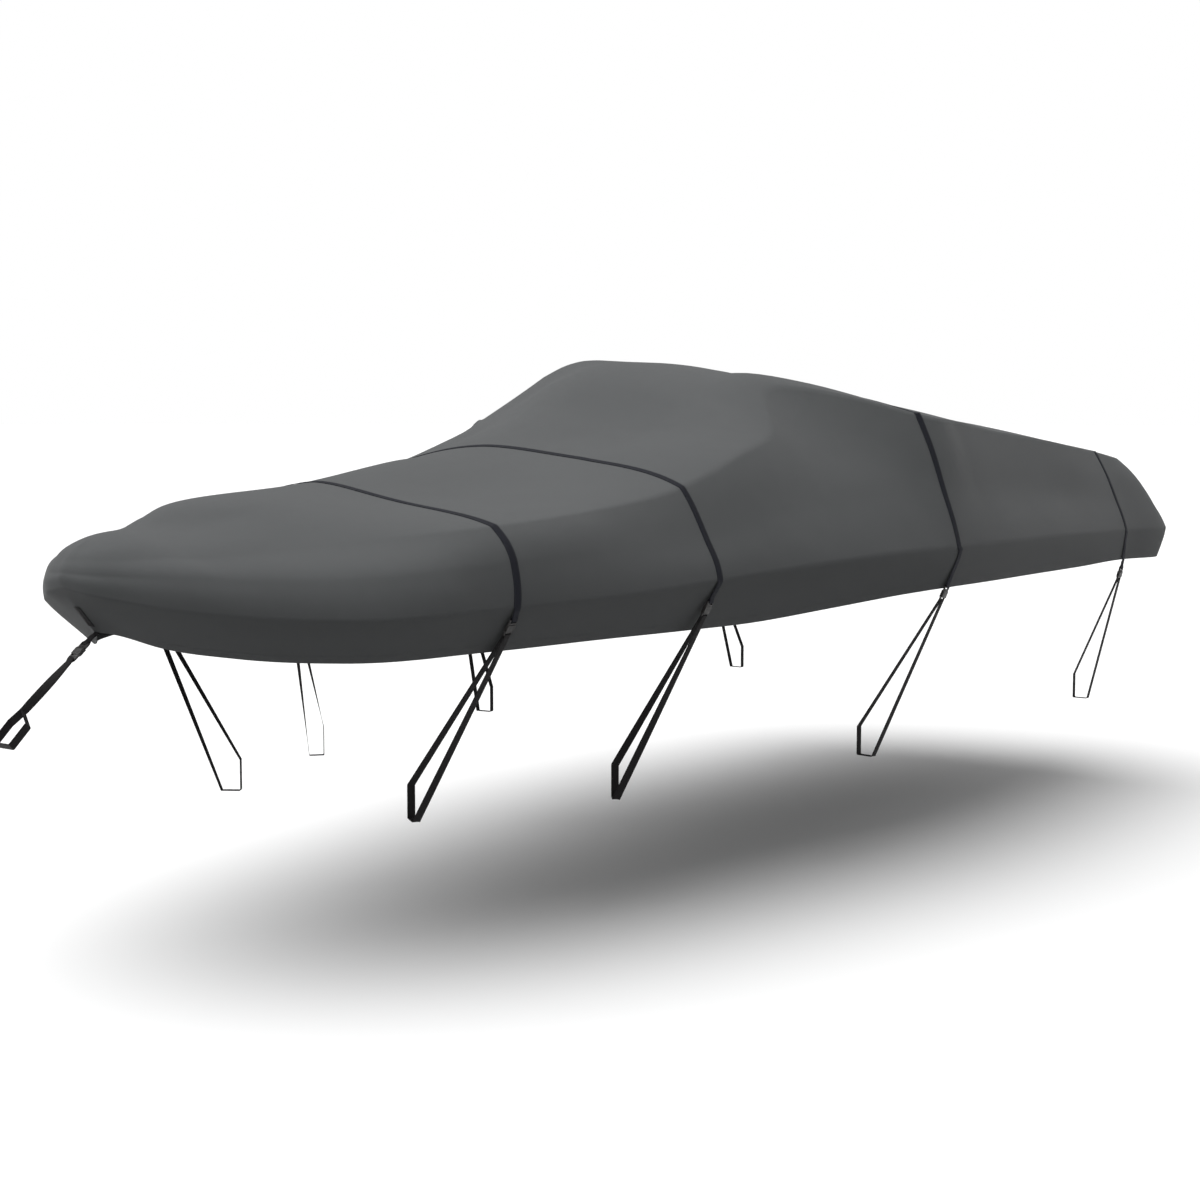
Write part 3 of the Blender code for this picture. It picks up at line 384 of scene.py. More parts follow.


# Heights are above the ground, and taking off originHeight brings a point into the
# frame. The stations, the rings and the folds are the ones that the imported solid was made from.
coverShape = {
    "originHeight": 1.863,
    "stations": ("bow", "stem", "cheek", "flare", "rail", "strap1", "foredeck", "strap2", "slope",
                 "screen", "post", "ridge", "strap3", "wing", "cockpit", "quarterdeck", "strap4",
                 "quarter", "corner", "transom", "stern"),
    # rings: spine, brow, shoulder, waist, knuckle, hem
    "sections": (
        ((-2.7, 0, 1.318), (-2.73, 0.0, 1.302), (-2.765, 0.0, 1.27),
         (-2.785, 0.0, 1.235), (-2.785, 0.0, 1.192), (-2.68, 0.0, 1.06)),
        ((-2.67, 0, 1.325), (-2.705, 0.045, 1.307), (-2.745, 0.07, 1.27),
         (-2.765, 0.08, 1.23), (-2.77, 0.08, 1.178), (-2.635, 0.05, 1.048)),
        ((-2.62, 0, 1.335), (-2.64, 0.1, 1.315), (-2.68, 0.15, 1.27),
         (-2.705, 0.17, 1.225), (-2.705, 0.18, 1.155), (-2.56, 0.14, 1.012)),
        ((-2.52, 0, 1.346), (-2.5, 0.15, 1.328), (-2.53, 0.28, 1.275),
         (-2.57, 0.34, 1.215), (-2.57, 0.36, 1.122), (-2.435, 0.31, 0.982)),
        ((-2.38, 0, 1.406), (-2.24, 0.24, 1.385), (-2.25, 0.46, 1.3),
         (-2.31, 0.58, 1.21), (-2.31, 0.62, 1.098), (-2.23, 0.53, 0.965)),
        ((-1.82, 0, 1.46), (-1.82, 0.36, 1.41), (-1.82, 0.74, 1.345),
         (-1.82, 0.815, 1.245), (-1.82, 0.828, 1.112), (-1.82, 0.718, 0.973)),
        ((-1.4, 0, 1.52), (-1.4, 0.4, 1.45), (-1.4, 0.8, 1.383),
         (-1.4, 0.88, 1.27), (-1.4, 0.92, 1.123), (-1.4, 0.815, 0.98)),
        ((-1.0, 0, 1.562), (-1.0, 0.42, 1.52), (-1.0, 0.83, 1.433),
         (-1.0, 0.93, 1.275), (-1.0, 0.982, 1.145), (-1.0, 0.875, 0.98)),
        ((-0.7, 0, 1.675), (-0.7, 0.4, 1.572), (-0.7, 0.89, 1.438),
         (-0.7, 0.99, 1.29), (-0.7, 1.035, 1.162), (-0.7, 0.93, 0.985)),
        ((-0.43, 0, 1.825), (-0.4, 0.41, 1.682), (-0.37, 0.97, 1.47),
         (-0.35, 1.06, 1.32), (-0.35, 1.105, 1.182), (-0.35, 1.01, 1.01)),
        ((-0.13, 0, 1.865), (-0.04, 0.46, 1.83), (-0.06, 1.01, 1.555),
         (-0.05, 1.11, 1.35), (-0.05, 1.16, 1.195), (-0.05, 1.09, 1.035)),
        ((0.07, 0, 1.864), (0.09, 0.5, 1.806), (0.09, 1.02, 1.68),
         (0.08, 1.135, 1.39), (0.08, 1.186, 1.197), (0.08, 1.132, 1.045)),
        ((0.2, 0, 1.851), (0.2, 0.5, 1.775), (0.2, 1.035, 1.671),
         (0.2, 1.138, 1.405), (0.2, 1.203, 1.198), (0.2, 1.155, 1.05)),
        ((0.5, 0, 1.825), (0.5, 0.5, 1.74), (0.5, 1.03, 1.65),
         (0.5, 1.132, 1.395), (0.5, 1.205, 1.2), (0.5, 1.16, 1.052)),
        ((0.95, 0, 1.77), (0.95, 0.5, 1.69), (0.95, 1.0, 1.604),
         (0.95, 1.102, 1.37), (0.95, 1.18, 1.198), (0.95, 1.14, 1.052)),
        ((1.45, 0, 1.69), (1.45, 0.5, 1.63), (1.45, 0.98, 1.562),
         (1.45, 1.07, 1.34), (1.45, 1.14, 1.19), (1.45, 1.11, 1.05)),
        ((1.95, 0, 1.605), (1.95, 0.48, 1.575), (1.95, 0.945, 1.513),
         (1.95, 1.045, 1.31), (1.95, 1.095, 1.178), (1.95, 1.075, 1.05)),
        ((2.11, 0, 1.58), (2.13, 0.46, 1.555), (2.22, 0.93, 1.47),
         (2.4, 1.02, 1.3), (2.5, 1.055, 1.165), (2.46, 1.03, 1.035)),
        ((2.16, 0, 1.57), (2.2, 0.4, 1.545), (2.34, 0.85, 1.455),
         (2.57, 0.91, 1.29), (2.68, 0.94, 1.155), (2.64, 0.92, 1.03)),
        ((2.19, 0, 1.565), (2.24, 0.22, 1.54), (2.39, 0.45, 1.45),
         (2.63, 0.45, 1.285), (2.75, 0.45, 1.15), (2.71, 0.45, 1.03)),
        ((2.2, 0, 1.565), (2.25, 0.0, 1.54), (2.4, 0.0, 1.45),
         (2.64, 0.0, 1.285), (2.76, 0.0, 1.15), (2.72, 0.0, 1.03)),
    ),
    # on port the windscreen under the cloth stands further forward and out: brow to hem
    "portSections": {
        "slope": ((-0.7, 0.4, 1.605), (-0.66, 0.835, 1.538),
                  (-0.69, 0.955, 1.34), (-0.7, 1.035, 1.162), (-0.7, 0.93, 0.985)),
        "screen": ((-0.44, 0.4, 1.745), (-0.42, 0.8, 1.612),
                   (-0.38, 0.978, 1.395), (-0.35, 1.105, 1.182), (-0.35, 1.01, 1.01)),
        "post": ((-0.18, 0.4, 1.822), (-0.22, 0.67, 1.769),
                 (-0.12, 1.01, 1.44), (-0.05, 1.16, 1.195), (-0.05, 1.09, 1.035)),
        "ridge": ((0.04, 0.46, 1.799), (-0.02, 0.82, 1.745),
                  (0.04, 1.06, 1.435), (0.08, 1.186, 1.197), (0.08, 1.132, 1.045)),
    },
    # from a station on, per ring: 0 a hard fold, 1 a smooth curve
    "roundness": (
        (0, (1.0, 1.0, 1.0, 1.0, 0.10, 0.6)),
        (2, (1.0, 1.0, 1.0, 1.0, 0.15, 0.6)),
        (3, (1.0, 1.0, 1.0, 1.0, 0.45, 0.6)),
        (5, (1.0, 0.6, 0.5, 0.8, 0.45, 0.6)),
        (10, (1.0, 0.6, 0.5, 0.8, 0.45, 0.6)),
        (12, (1.0, 0.6, 0.1, 0.8, 0.45, 0.6)),
    ),
    "rows": (4, 5, 4, 4, 4),
    "columns": (2, 2, 2, 2, 4, 3, 3, 2, 2, 3, 2, 2, 2, 2, 3, 3, 2, 2, 2, 2),
    "cloth": 0.0020,
    "hemWidth": 0.025,
    "hemExtra": 0.0010,
    "hemRing": 4.85,         # where its upper edge is, on the scale on which the hem is 5
    # rows of the hem, in hem widths above the edge: in the solid, and in the fine mesh
    "hemRows": {"solid": (1.0, 0.0), "fine": (2.6, 1.8, 1.25, 1.0, 0.75, 0.4, 0.12, 0.0)},
    "hemRoom": 0.06,         # no other row is nearer to the hem's first one than this
    "hemMost": 0.8,          # the hem's width is at most this share of the gap above the edge
    "hemFar": 0.9,           # and its rows lie no further up than this share
    "calmBelow": 0.8,        # folds fade out over this much of the scale, down to the hem
    "across": 0.025,         # the fine mesh's columns are about this far apart at most
    "rowSplit": 4,           # and each of the solid's rows is cut into this many
}
# side: -1 port, 1 starboard, 0 both; ring 0 is the spine and 5 the hem
broadFolds = (
    # side   x     ring  length half  width half  depth    lean
    (-1, -2.62, 2.60, 0.035, 1.30, 0.0045, 0.00),
    (-1, -2.50, 2.80, 0.040, 1.10, -0.0035, 0.02),
    (1, -2.56, 2.70, 0.045, 1.20, 0.0045, 0.01),
    (1, -2.34, 1.40, 0.140, 0.45, -0.0160, 0.00),
    (-1, -2.05, 3.55, 0.060, 0.45, 0.0050, 0.03),
    (1, -2.05, 1.50, 0.120, 0.40, -0.0080, 0.00),
    (-1, -1.93, 3.60, 0.045, 0.40, -0.0035, 0.02),
    (1, -1.85, 0.80, 0.250, 0.45, -0.0100, 0.00),
    (1, -2.10, 3.50, 0.060, 0.50, 0.0050, -0.02),
    (0, -1.55, 1.10, 0.200, 0.60, -0.0080, 0.05),
    (0, -1.25, 2.60, 0.180, 0.55, -0.0060, 0.06),
    (1, -1.08, 1.50, 0.260, 0.50, -0.0450, 0.00),
    (-1, -0.98, 1.55, 0.200, 0.45, 0.0090, 0.00),
    (1, -0.58, 2.80, 0.170, 0.60, -0.0080, 0.08),
    (1, -0.25, 1.50, 0.100, 0.35, -0.0100, 0.00),
    (1, -0.10, 0.65, 0.100, 0.30, 0.0200, 0.00),
    (1, 0.08, 1.80, 0.110, 0.50, -0.0550, 0.00),
    (0, 0.70, 0.90, 0.220, 0.80, -0.0120, 0.00),
    (-1, 0.75, 2.60, 0.220, 0.60, -0.0070, 0.05),
    (1, 0.80, 2.50, 0.240, 0.60, -0.0080, 0.04),
    (0, 1.65, 0.90, 0.200, 0.80, -0.0100, 0.00),
    (-1, 1.30, 2.70, 0.180, 0.50, -0.0050, 0.04),
    (1, 1.45, 2.60, 0.200, 0.55, -0.0060, 0.02),
    (-1, 2.28, 2.20, 0.080, 0.40, 0.0100, 0.00),
    (-1, 2.42, 2.90, 0.060, 0.80, -0.0060, 0.02),
    (1, 2.40, 2.80, 0.070, 0.80, -0.0070, 0.02),
)
# Small gathers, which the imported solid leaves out
fineFolds = (
    (-1, -2.10, 3.72, 0.014, 0.22, 0.0014, 0.02),
    (-1, -2.06, 3.75, 0.012, 0.18, -0.0012, 0.02),
    (-1, -2.02, 3.72, 0.013, 0.22, 0.0013, 0.02),
    (-1, -2.58, 2.20, 0.018, 0.80, 0.0016, 0.01),
    (-1, -2.54, 2.40, 0.016, 0.70, -0.0014, 0.01),
    (1, -2.60, 2.30, 0.018, 0.70, 0.0015, 0.01),
    (1, -2.00, 3.70, 0.014, 0.25, 0.0013, 0.03),
    (1, 2.30, 3.30, 0.030, 0.40, 0.0020, 0.03),
    (-1, 2.34, 3.35, 0.028, 0.40, 0.0020, 0.02),
)


def readCurve(knots, at, roundness):
    knots = np.asarray(knots, float)
    count = len(knots)
    step = np.diff(knots, axis=0)
    reach = np.linalg.norm(step, axis=-1).reshape(count - 1, -1).mean(axis=1)
    shape = (-1,) + (1,) * (knots.ndim - 1)
    slope = step / reach.reshape(shape)
    tangent = np.empty_like(knots)
    tangent[0], tangent[-1] = slope[0], slope[-1]
    before, after = reach[:-1].reshape(shape), reach[1:].reshape(shape)
    tangent[1:-1] = (slope[:-1] * after + slope[1:] * before) / (before + after)
    roundness = roundness * np.ones((count,) + (1,) * (knots.ndim - 1))
    found = []
    for value in at:
        i = min(int(value), count - 2)
        w = value - i
        smooth = (
            (2 * w**3 - 3 * w**2 + 1) * knots[i]
            + (w**3 - 2 * w**2 + w) * reach[i] * tangent[i]
            + (3 * w**2 - 2 * w**3) * knots[i + 1]
            + (w**3 - w**2) * reach[i] * tangent[i + 1]
        )
        straight = (1 - w) * knots[i] + w * knots[i + 1]
        k = (1 - w) * roundness[i] + w * roundness[i + 1]
        found.append((1 - k) * straight + k * smooth)
    return np.array(found)


def evenSteps(counts):
    values = [0.0]
    for i, count in enumerate(counts):
        values += [i + (j + 1) / count for j in range(count)]
    return values


def solidColumns(webWidth):
    sections, stations = coverShape["sections"], coverShape["stations"]
    values, pairs = [], []
    for value in evenSteps(coverShape["columns"]):
        i = int(round(value))
        if abs(value - i) > 1e-9 or not stations[i].startswith("strap"):
            values.append(value)
            continue
        x = [sections[j][4][0] for j in (i - 1, i, i + 1)]
        rate = ((x[1] - x[0]) * (x[2] - x[1]) * 2) / (x[2] - x[0])
        half = 0.5 * webWidth / rate
        pairs.append(value - half)
        values += [value - half, value + half]
    return values, pairs


def fineColumns(values):
    knuckle = readCurve(np.array([s[4] for s in coverShape["sections"]]), values, 1.0)
    result = [values[0]]
    for i in range(len(values) - 1):
        gap = np.linalg.norm(knuckle[i + 1] - knuckle[i])
        steps = max(1, math.ceil(gap / coverShape["across"] - 0.2))
        result += [values[i] + (values[i + 1] - values[i]) * (j + 1) / steps for j in range(steps)]
    return result


def foldOffset(points, ring, side, folds):
    total = np.zeros(points.shape[:2])
    for foldSide, x, at, length, width, depth, lean in folds:
        if foldSide and foldSide != side:
            continue
        across = (points[:, :, 0] - x - lean * (ring[:, None] - at)) / length
        down = (ring[:, None] - at) / width
        total += depth * np.exp(-0.5 * (across**2 + down**2))
    return total


def gridNormals(grid):
    along = np.empty_like(grid)
    along[:, 1:-1] = unit(grid[:, 2:] - grid[:, 1:-1]) + unit(grid[:, 1:-1] - grid[:, :-2])
    along[:, 0] = unit(grid[:, 1] - grid[::-1][:, 1])
    along[:, -1] = unit(grid[::-1][:, -2] - grid[:, -2])
    down = np.empty_like(grid)
    down[1:-1] = unit(grid[2:] - grid[1:-1]) + unit(grid[1:-1] - grid[:-2])
    down[0] = grid[1] - grid[0]
    down[-1] = grid[-1] - grid[-2]
    normal = unit(np.cross(along, down))
    # On the centreline the two sides meet, so the normal has no sideways part there.
    for column, x in ((0, -1.0), (-1, 1.0)):
        normal[:, column, 1] = 0.0
        inward = normal[:, column, 0] * x + normal[:, column, 2] < -0.3
        normal[inward, column] *= -1
        normal[:, column] = unit(normal[:, column])
    if normal[grid.shape[0] // 2, grid.shape[1] // 2, 2] < 0:
        normal *= -1
    return normal


def halfSurface(side, columns, rowCounts, hemRows):
    sections = np.array(coverShape["sections"], float)
    if side < 0:
        for station, places in coverShape["portSections"].items():
            sections[coverShape["stations"].index(station), 1:] = places
    rings = readCurve(sections, columns, 1.0)
    # The other side's brow comes first, so that the cloth runs level over the spine.
    knots = np.concatenate([rings[:, 1:2] * (1.0, -1.0, 1.0), rings], axis=1)
    rows = np.array(evenSteps(rowCounts))
    at = [station for station, _ in coverShape["roundness"]]
    perRing = zip(*(row for _, row in coverShape["roundness"]))
    roundness = [np.interp(columns, at, values) for values in perRing]
    roundness = np.array(roundness[:1] + roundness)[:, :, None]
    half = readCurve(knots.transpose(1, 0, 2), rows + 1.0, roundness)
    # The hem's own rows take the place of the ones that they would crowd.
    hemRows = np.array(hemRows)
    hemRings = 5 - (5 - coverShape["hemRing"]) * hemRows
    kept = rows < hemRings[0] - coverShape["hemRoom"]
    last, before = half[-1], half[kept][-1]
    drop = np.linalg.norm(last - before, axis=-1, keepdims=True)
    share = np.minimum(coverShape["hemWidth"] / drop, coverShape["hemMost"])
    hem = [last + (before - last) * np.minimum(share * row, coverShape["hemFar"])
           for row in hemRows]
    half = np.concatenate([half[kept], np.array(hem)])
    ring = np.concatenate([rows[kept], hemRings])
    return half * (1.0, side, 1.0), ring


def coverSurface(columns, rowCounts, hemRows, folds):
    port, ring = halfSurface(-1.0, columns, rowCounts, hemRows)
    starboard, _ = halfSurface(1.0, columns, rowCounts, hemRows)
    grid = np.concatenate([port[::-1], starboard[1:]])
    both = np.concatenate([ring[::-1], ring[1:]])
    middle = len(ring) - 1
    normal = gridNormals(grid)
    offset = np.zeros(grid.shape[:2])
    offset[: middle + 1] = foldOffset(grid[: middle + 1], both[: middle + 1], -1, folds)
    other = foldOffset(grid[middle:], both[middle:], 1, folds)
    offset[middle] = 0.5 * (offset[middle] + other[0])
    offset[middle + 1:] = other[1:]
    for column in (0, -1):
        offset[:, column] = 0.5 * (offset[:, column] + offset[::-1][:, column])
    calm = np.clip((5.0 - both) / coverShape["calmBelow"], 0.0, 1.0)[:, None]
    outer = grid + normal * (offset * calm)[:, :, None]
    outer[:, :, 2] -= coverShape["originHeight"]
    return outer, gridNormals(outer), both, middle


def flatLengths(grid):
    along = np.linalg.norm(np.diff(grid, axis=1), axis=2).mean(axis=0)
    down = np.linalg.norm(np.diff(grid, axis=0), axis=2)
    u = np.concatenate([[0.0], np.cumsum(along)])
    v = np.concatenate([np.zeros((1, grid.shape[1])), np.cumsum(down, axis=0)])
    v -= v[grid.shape[0] // 2]
    return np.stack([np.broadcast_to(u, v.shape), v], axis=2)


def clothPiece(name, outer, normal, rings, materials):
    rows, columns = outer.shape[:2]
    depth = np.full((rows, 1, 1), coverShape["cloth"])
    depth[rings > coverShape["hemRing"] - 0.01] += coverShape["hemExtra"]
    inner = outer - normal * depth
    points, index = [], {}

    def vertex(layer, row, column):
        if column in (0, columns - 1):
            row = min(row, rows - 1 - row)
        key = (layer, row, column)
        if key not in index:
            index[key] = len(points)
            points.append((outer, inner)[layer][row, column])
        return index[key]

    flat = flatLengths(outer)
    faces, faceMaterial, uv = [], [], []

    def face(keys, layerMaterial, turn):
        corners, places = [], []
        for layer, row, column in keys[::-1] if turn else keys:
            found = vertex(layer, row, column)
            if found not in corners:
                corners.append(found)
                places.append(flat[row, column])
        if len(corners) > 2:
            faces.append(tuple(corners))
            faceMaterial.append(layerMaterial)
            uv.extend(places)

    for layer in (0, 1):
        for row in range(rows - 1):
            for column in range(columns - 1):
                face([(layer, row, column), (layer, row, column + 1),
                      (layer, row + 1, column + 1), (layer, row + 1, column)], layer, layer == 1)
    for row in (0, rows - 1):
        for column in range(columns - 1):
            face([(0, row, column), (1, row, column), (1, row, column + 1), (0, row, column + 1)],
                 0, row == rows - 1)
    cloth = meshObject(name, points, faces, materials, faceMaterial, uv)
    faceOutward(cloth, mixed=False)
    return cloth


webbing = {
    "width": 0.025,
    "thick": 0.0014,
    "gap": 0.0003,
    "edge": 0.00045,         # how far its long edges are rounded
    "overCloth": 0.0005,
    "joinLength": 0.014,     # the two plies come together this far from a bar
    "tail": 0.032,           # and the sewn-back ply ends here
    "hemClear": 0.010,
    "bearing": 0.0018,
    "seamEnd": 0.010,
    "seamLift": 0.0030,
    "cornerRadius": 0.004,
    "barCorner": 0.0009,
    "beside": 0.2,           # share of its width that a buckle keeps clear at each side
    "around": 0.020,         # and this much before and after it
    "step": 0.03,            # longest straight step of a loose run
    "corner": 50,            # degrees past which an edge is drawn sharp
}
ply = webbing["thick"] / 2 + webbing["gap"] / 2
barClear = webbing["thick"] / 2 + webbing["gap"]


def framesAlong(path, widths, closed=False):
    path = np.asarray(path, float)
    heading = unit(np.roll(path, -1, axis=0) - path)
    before = np.roll(heading, 1, axis=0)
    if not closed:
        heading[-1] = heading[-2]
        before[0] = heading[0]
    tangent = unit(heading + before)
    bend = np.clip((heading * before).sum(axis=1), -1, 1)
    stretch = 1 / np.sqrt(np.maximum((1 + bend) / 2, 0.3))
    across = np.broadcast_to(np.asarray(widths, float), path.shape)
    across = unit(across - (across * tangent).sum(axis=1, keepdims=True) * tangent)
    out = unit(np.cross(tangent, across)) * stretch[:, None]
    return path, across, out


def webSection():
    w, t, e = webbing["width"] / 2, webbing["thick"] / 2, webbing["edge"]
    return ((-w, t - e), (-w + e, t), (-w / 3, t), (w / 3, t), (w - e, t), (w, t - e),
            (w, e - t), (w - e, -t), (w / 3, -t), (-w / 3, -t), (e - w, -t), (-w, e - t))


def tubeFaces(length, around, closedLength=None):
    # length is each section's place along the tube, and around each corner's place round it
    faces, uv = [], []
    count, size = len(length), len(around) - 1
    for i in range(count - 1 if closedLength is None else count):
        j = (i + 1) % count
        ahead = length[j] if j else closedLength
        for k in range(size):
            m = (k + 1) % size
            faces.append((size * i + k, size * i + m, size * j + m, size * j + k))
            uv += [(length[i], around[k]), (length[i], around[k + 1]),
                   (ahead, around[k + 1]), (ahead, around[k])]
    return faces, uv


def strapMesh(name, points, faces, material, uv):
    strap = meshObject(name, points, faces, [material], uv=uv)
    faceOutward(strap)
    strap.data.set_sharp_from_angle(angle=math.radians(webbing["corner"]))
    return strap


def webPiece(name, frames, material, closed=False):
    path, across, out = frames
    section = webSection()
    size, count = len(section), len(path)
    points = [m + a * x + o * y for m, a, o in zip(path, across, out) for x, y in section]
    length = np.concatenate([[0.0], np.cumsum(np.linalg.norm(np.diff(path, axis=0), axis=1))])
    around = [0.0]
    for k in range(size):
        a, b = section[k], section[(k + 1) % size]
        around.append(around[-1] + math.dist(a, b))
    closedLength = length[-1] + np.linalg.norm(path[0] - path[-1]) if closed else None
    faces, uv = tubeFaces(length, around, closedLength)
    if not closed:
        for base, at in ((0, length[0]), (size * (count - 1), length[-1])):
            faces.append(tuple(range(base, base + size)))
            uv += [(at + y, x) for x, y in section]
    return strapMesh(name, points, faces, material, uv)


def roundCorner(before, at, after, radius, steps=4):
    a, b = unit(before - at), unit(after - at)
    half = math.acos(float(np.clip((a * b).sum(), -1, 1))) / 2
    reach = radius / math.tan(half)
    centre = at + unit(a + b) * radius / math.sin(half)
    start, end = at + a * reach - centre, at + b * reach - centre
    turn = math.pi - 2 * half
    return [
        centre + (math.sin((1 - t) * turn) * start + math.sin(t * turn) * end) / math.sin(turn)
        for t in np.linspace(0, 1, steps + 1)
    ]


def stepsBetween(start, end, most):
    steps = max(1, math.ceil(np.linalg.norm(end - start) / most))
    return [start + (end - start) * i / steps for i in range(1, steps)]


buckle = {
    "depth": 0.011,
    "housing": 0.036,
    "base": 0.016,
    "bowHousing": 0.046,
    "bowBase": 0.020,
    "bar": 0.0030,
    "barDepth": 0.0066,
    "barStart": 0.0005,      # the webbing bends this far before the bar
    "lie": 0.0008,
    "edge": 0.0006,          # rounding of its moulded edges
    "weld": 0.00002,         # corners closer than this are one
    "flat": 1,               # degrees up to which neighbouring faces are one
    "rounded": 40,           # degrees past which an edge is rounded
    "corner": 35,            # and past which it is drawn sharp
    "settle": 4,             # rounds in which a buckle is lifted clear of the cloth
}
rail = {"height": 0.102, "bottom": 0.436}
tieDowns = (
    # station  to buckle  outer x  outer y  inner x  inner y
    ("strap1", 0.040, -1.830, 0.432, -1.795, 0.381),
    ("strap2", 0.075, -1.172, 0.697, -1.133, 0.664),
    ("strap3", 0.150, 0.051, 0.944, 0.061, 0.880),
    ("strap4", 0.165, 1.950, 0.934, 1.950, 0.872),
)
sides = (("port", -1.0), ("starboard", 1.0))


def barTurn(bar, along, out, join):
    h = buckle["barDepth"] / 2 + barClear
    end = buckle["bar"] / 2 + barClear
    near = bar - along * (buckle["bar"] / 2 + buckle["barStart"])
    top, low = bar + along * end + out * h, bar + along * end - out * h
    points = [bar - along * join + out * ply, near + out * h]
    points += roundCorner(near + out * h, top, low, webbing["barCorner"])
    points += roundCorner(top, low, near - out * h, webbing["barCorner"])
    return points + [near - out * h, bar - along * join - out * ply]


def sideRun(side, last, cloth, row):
    railBottom = rail["bottom"] - coverShape["originHeight"]
    target = np.array([row[2], row[3] * side, railBottom])
    hem = cloth[-1].mean(axis=0)
    turn = last + (target - last) * (last[2] - hem[2]) / (last[2] - target[2])
    turn[1] = side * max(side * turn[1], side * hem[1] + webbing["hemClear"])
    toTurn = np.linalg.norm(turn - last)
    reach = row[1] + buckle["bar"] / 2
    if reach < toTurn:
        path, bar = [last], last + unit(turn - last) * reach
    else:
        path, bar = [last, turn], turn + unit(target - turn) * (reach - toTurn)
    wider = webbing["beside"] * (cloth[:, 1] - cloth[:, 0])
    near = np.concatenate([cloth[:, 0] - wider, cloth[:, 1] + wider])
    for _ in range(buckle["settle"]):
        heading = unit(target - bar)
        across = unit(np.array([1.0, 0.0, 0.0]) - heading[0] * heading)
        out = np.cross(heading, across)
        out = out if out[1] * side > 0 else -out
        along = (near - bar) @ heading
        end = buckle["base"] + buckle["housing"] + webbing["around"]
        under = near[(along > -webbing["around"]) & (along < end)]
        height = ((under - bar) @ out).max() if len(under) else -1.0
        bar = bar + out * max(0.0, height + buckle["depth"] / 2 + buckle["lie"])
    ahead = path[1] if len(path) > 1 else bar
    along = unit(ahead - last)
    aside = unit(out - (out @ along) * along)
    for middle in cloth[2:].mean(axis=1):
        far, height = (middle - last) @ along, (middle - last) @ aside
        if height > -webbing["bearing"] and far < np.linalg.norm(ahead - last) - webbing["tail"]:
            path.insert(1, middle + aside * webbing["bearing"])
            break
    start = unit((path + [bar])[1] - last)
    path.insert(1, last + start * webbing["seamEnd"] + aside * webbing["seamLift"])
    return path, bar, heading, across, out


def railLoop(bar, along, across, out, side, row):
    railX, railY, innerX, innerY = row[2:]
    railBottom = rail["bottom"] - coverShape["originHeight"]
    away = unit(np.array([railX - innerX, (railY - innerY) * side, 0.0])) * barClear
    foot = np.array([railX, railY * side, railBottom - barClear]) + away
    heel = np.array([innerX, innerY * side, railBottom - barClear]) - away
    top = heel + np.array([0.0, 0.0, rail["height"] + barClear])
    lengthways = unit(np.array([away[1], -away[0], 0.0]))
    lengthways = lengthways if lengthways @ across > 0 else -lengthways
    turn = barTurn(bar, -along, out, 0.0)[1:-1]
    down, up = turn[0], turn[-1]
    radius = webbing["cornerRadius"]
    corners = roundCorner(down, foot, heel, radius) + roundCorner(foot, heel, top, radius)
    corners += roundCorner(heel, top, up, radius)
    path, widths = list(turn[::-1]), [across] * len(turn)
    for start, end, opening in ((path[-1], corners[0], True), (corners[-1], up, False)):
        if not opening:
            path += corners
            widths += [lengthways] * len(corners)
        between = stepsBetween(start, end, webbing["step"])
        for i, point in enumerate(between):
            share = (i + 1) / (len(between) + 1)
            share = share if opening else 1 - share
            path.append(point)
            widths.append(across * (1 - share) + lengthways * share)
    return path, widths


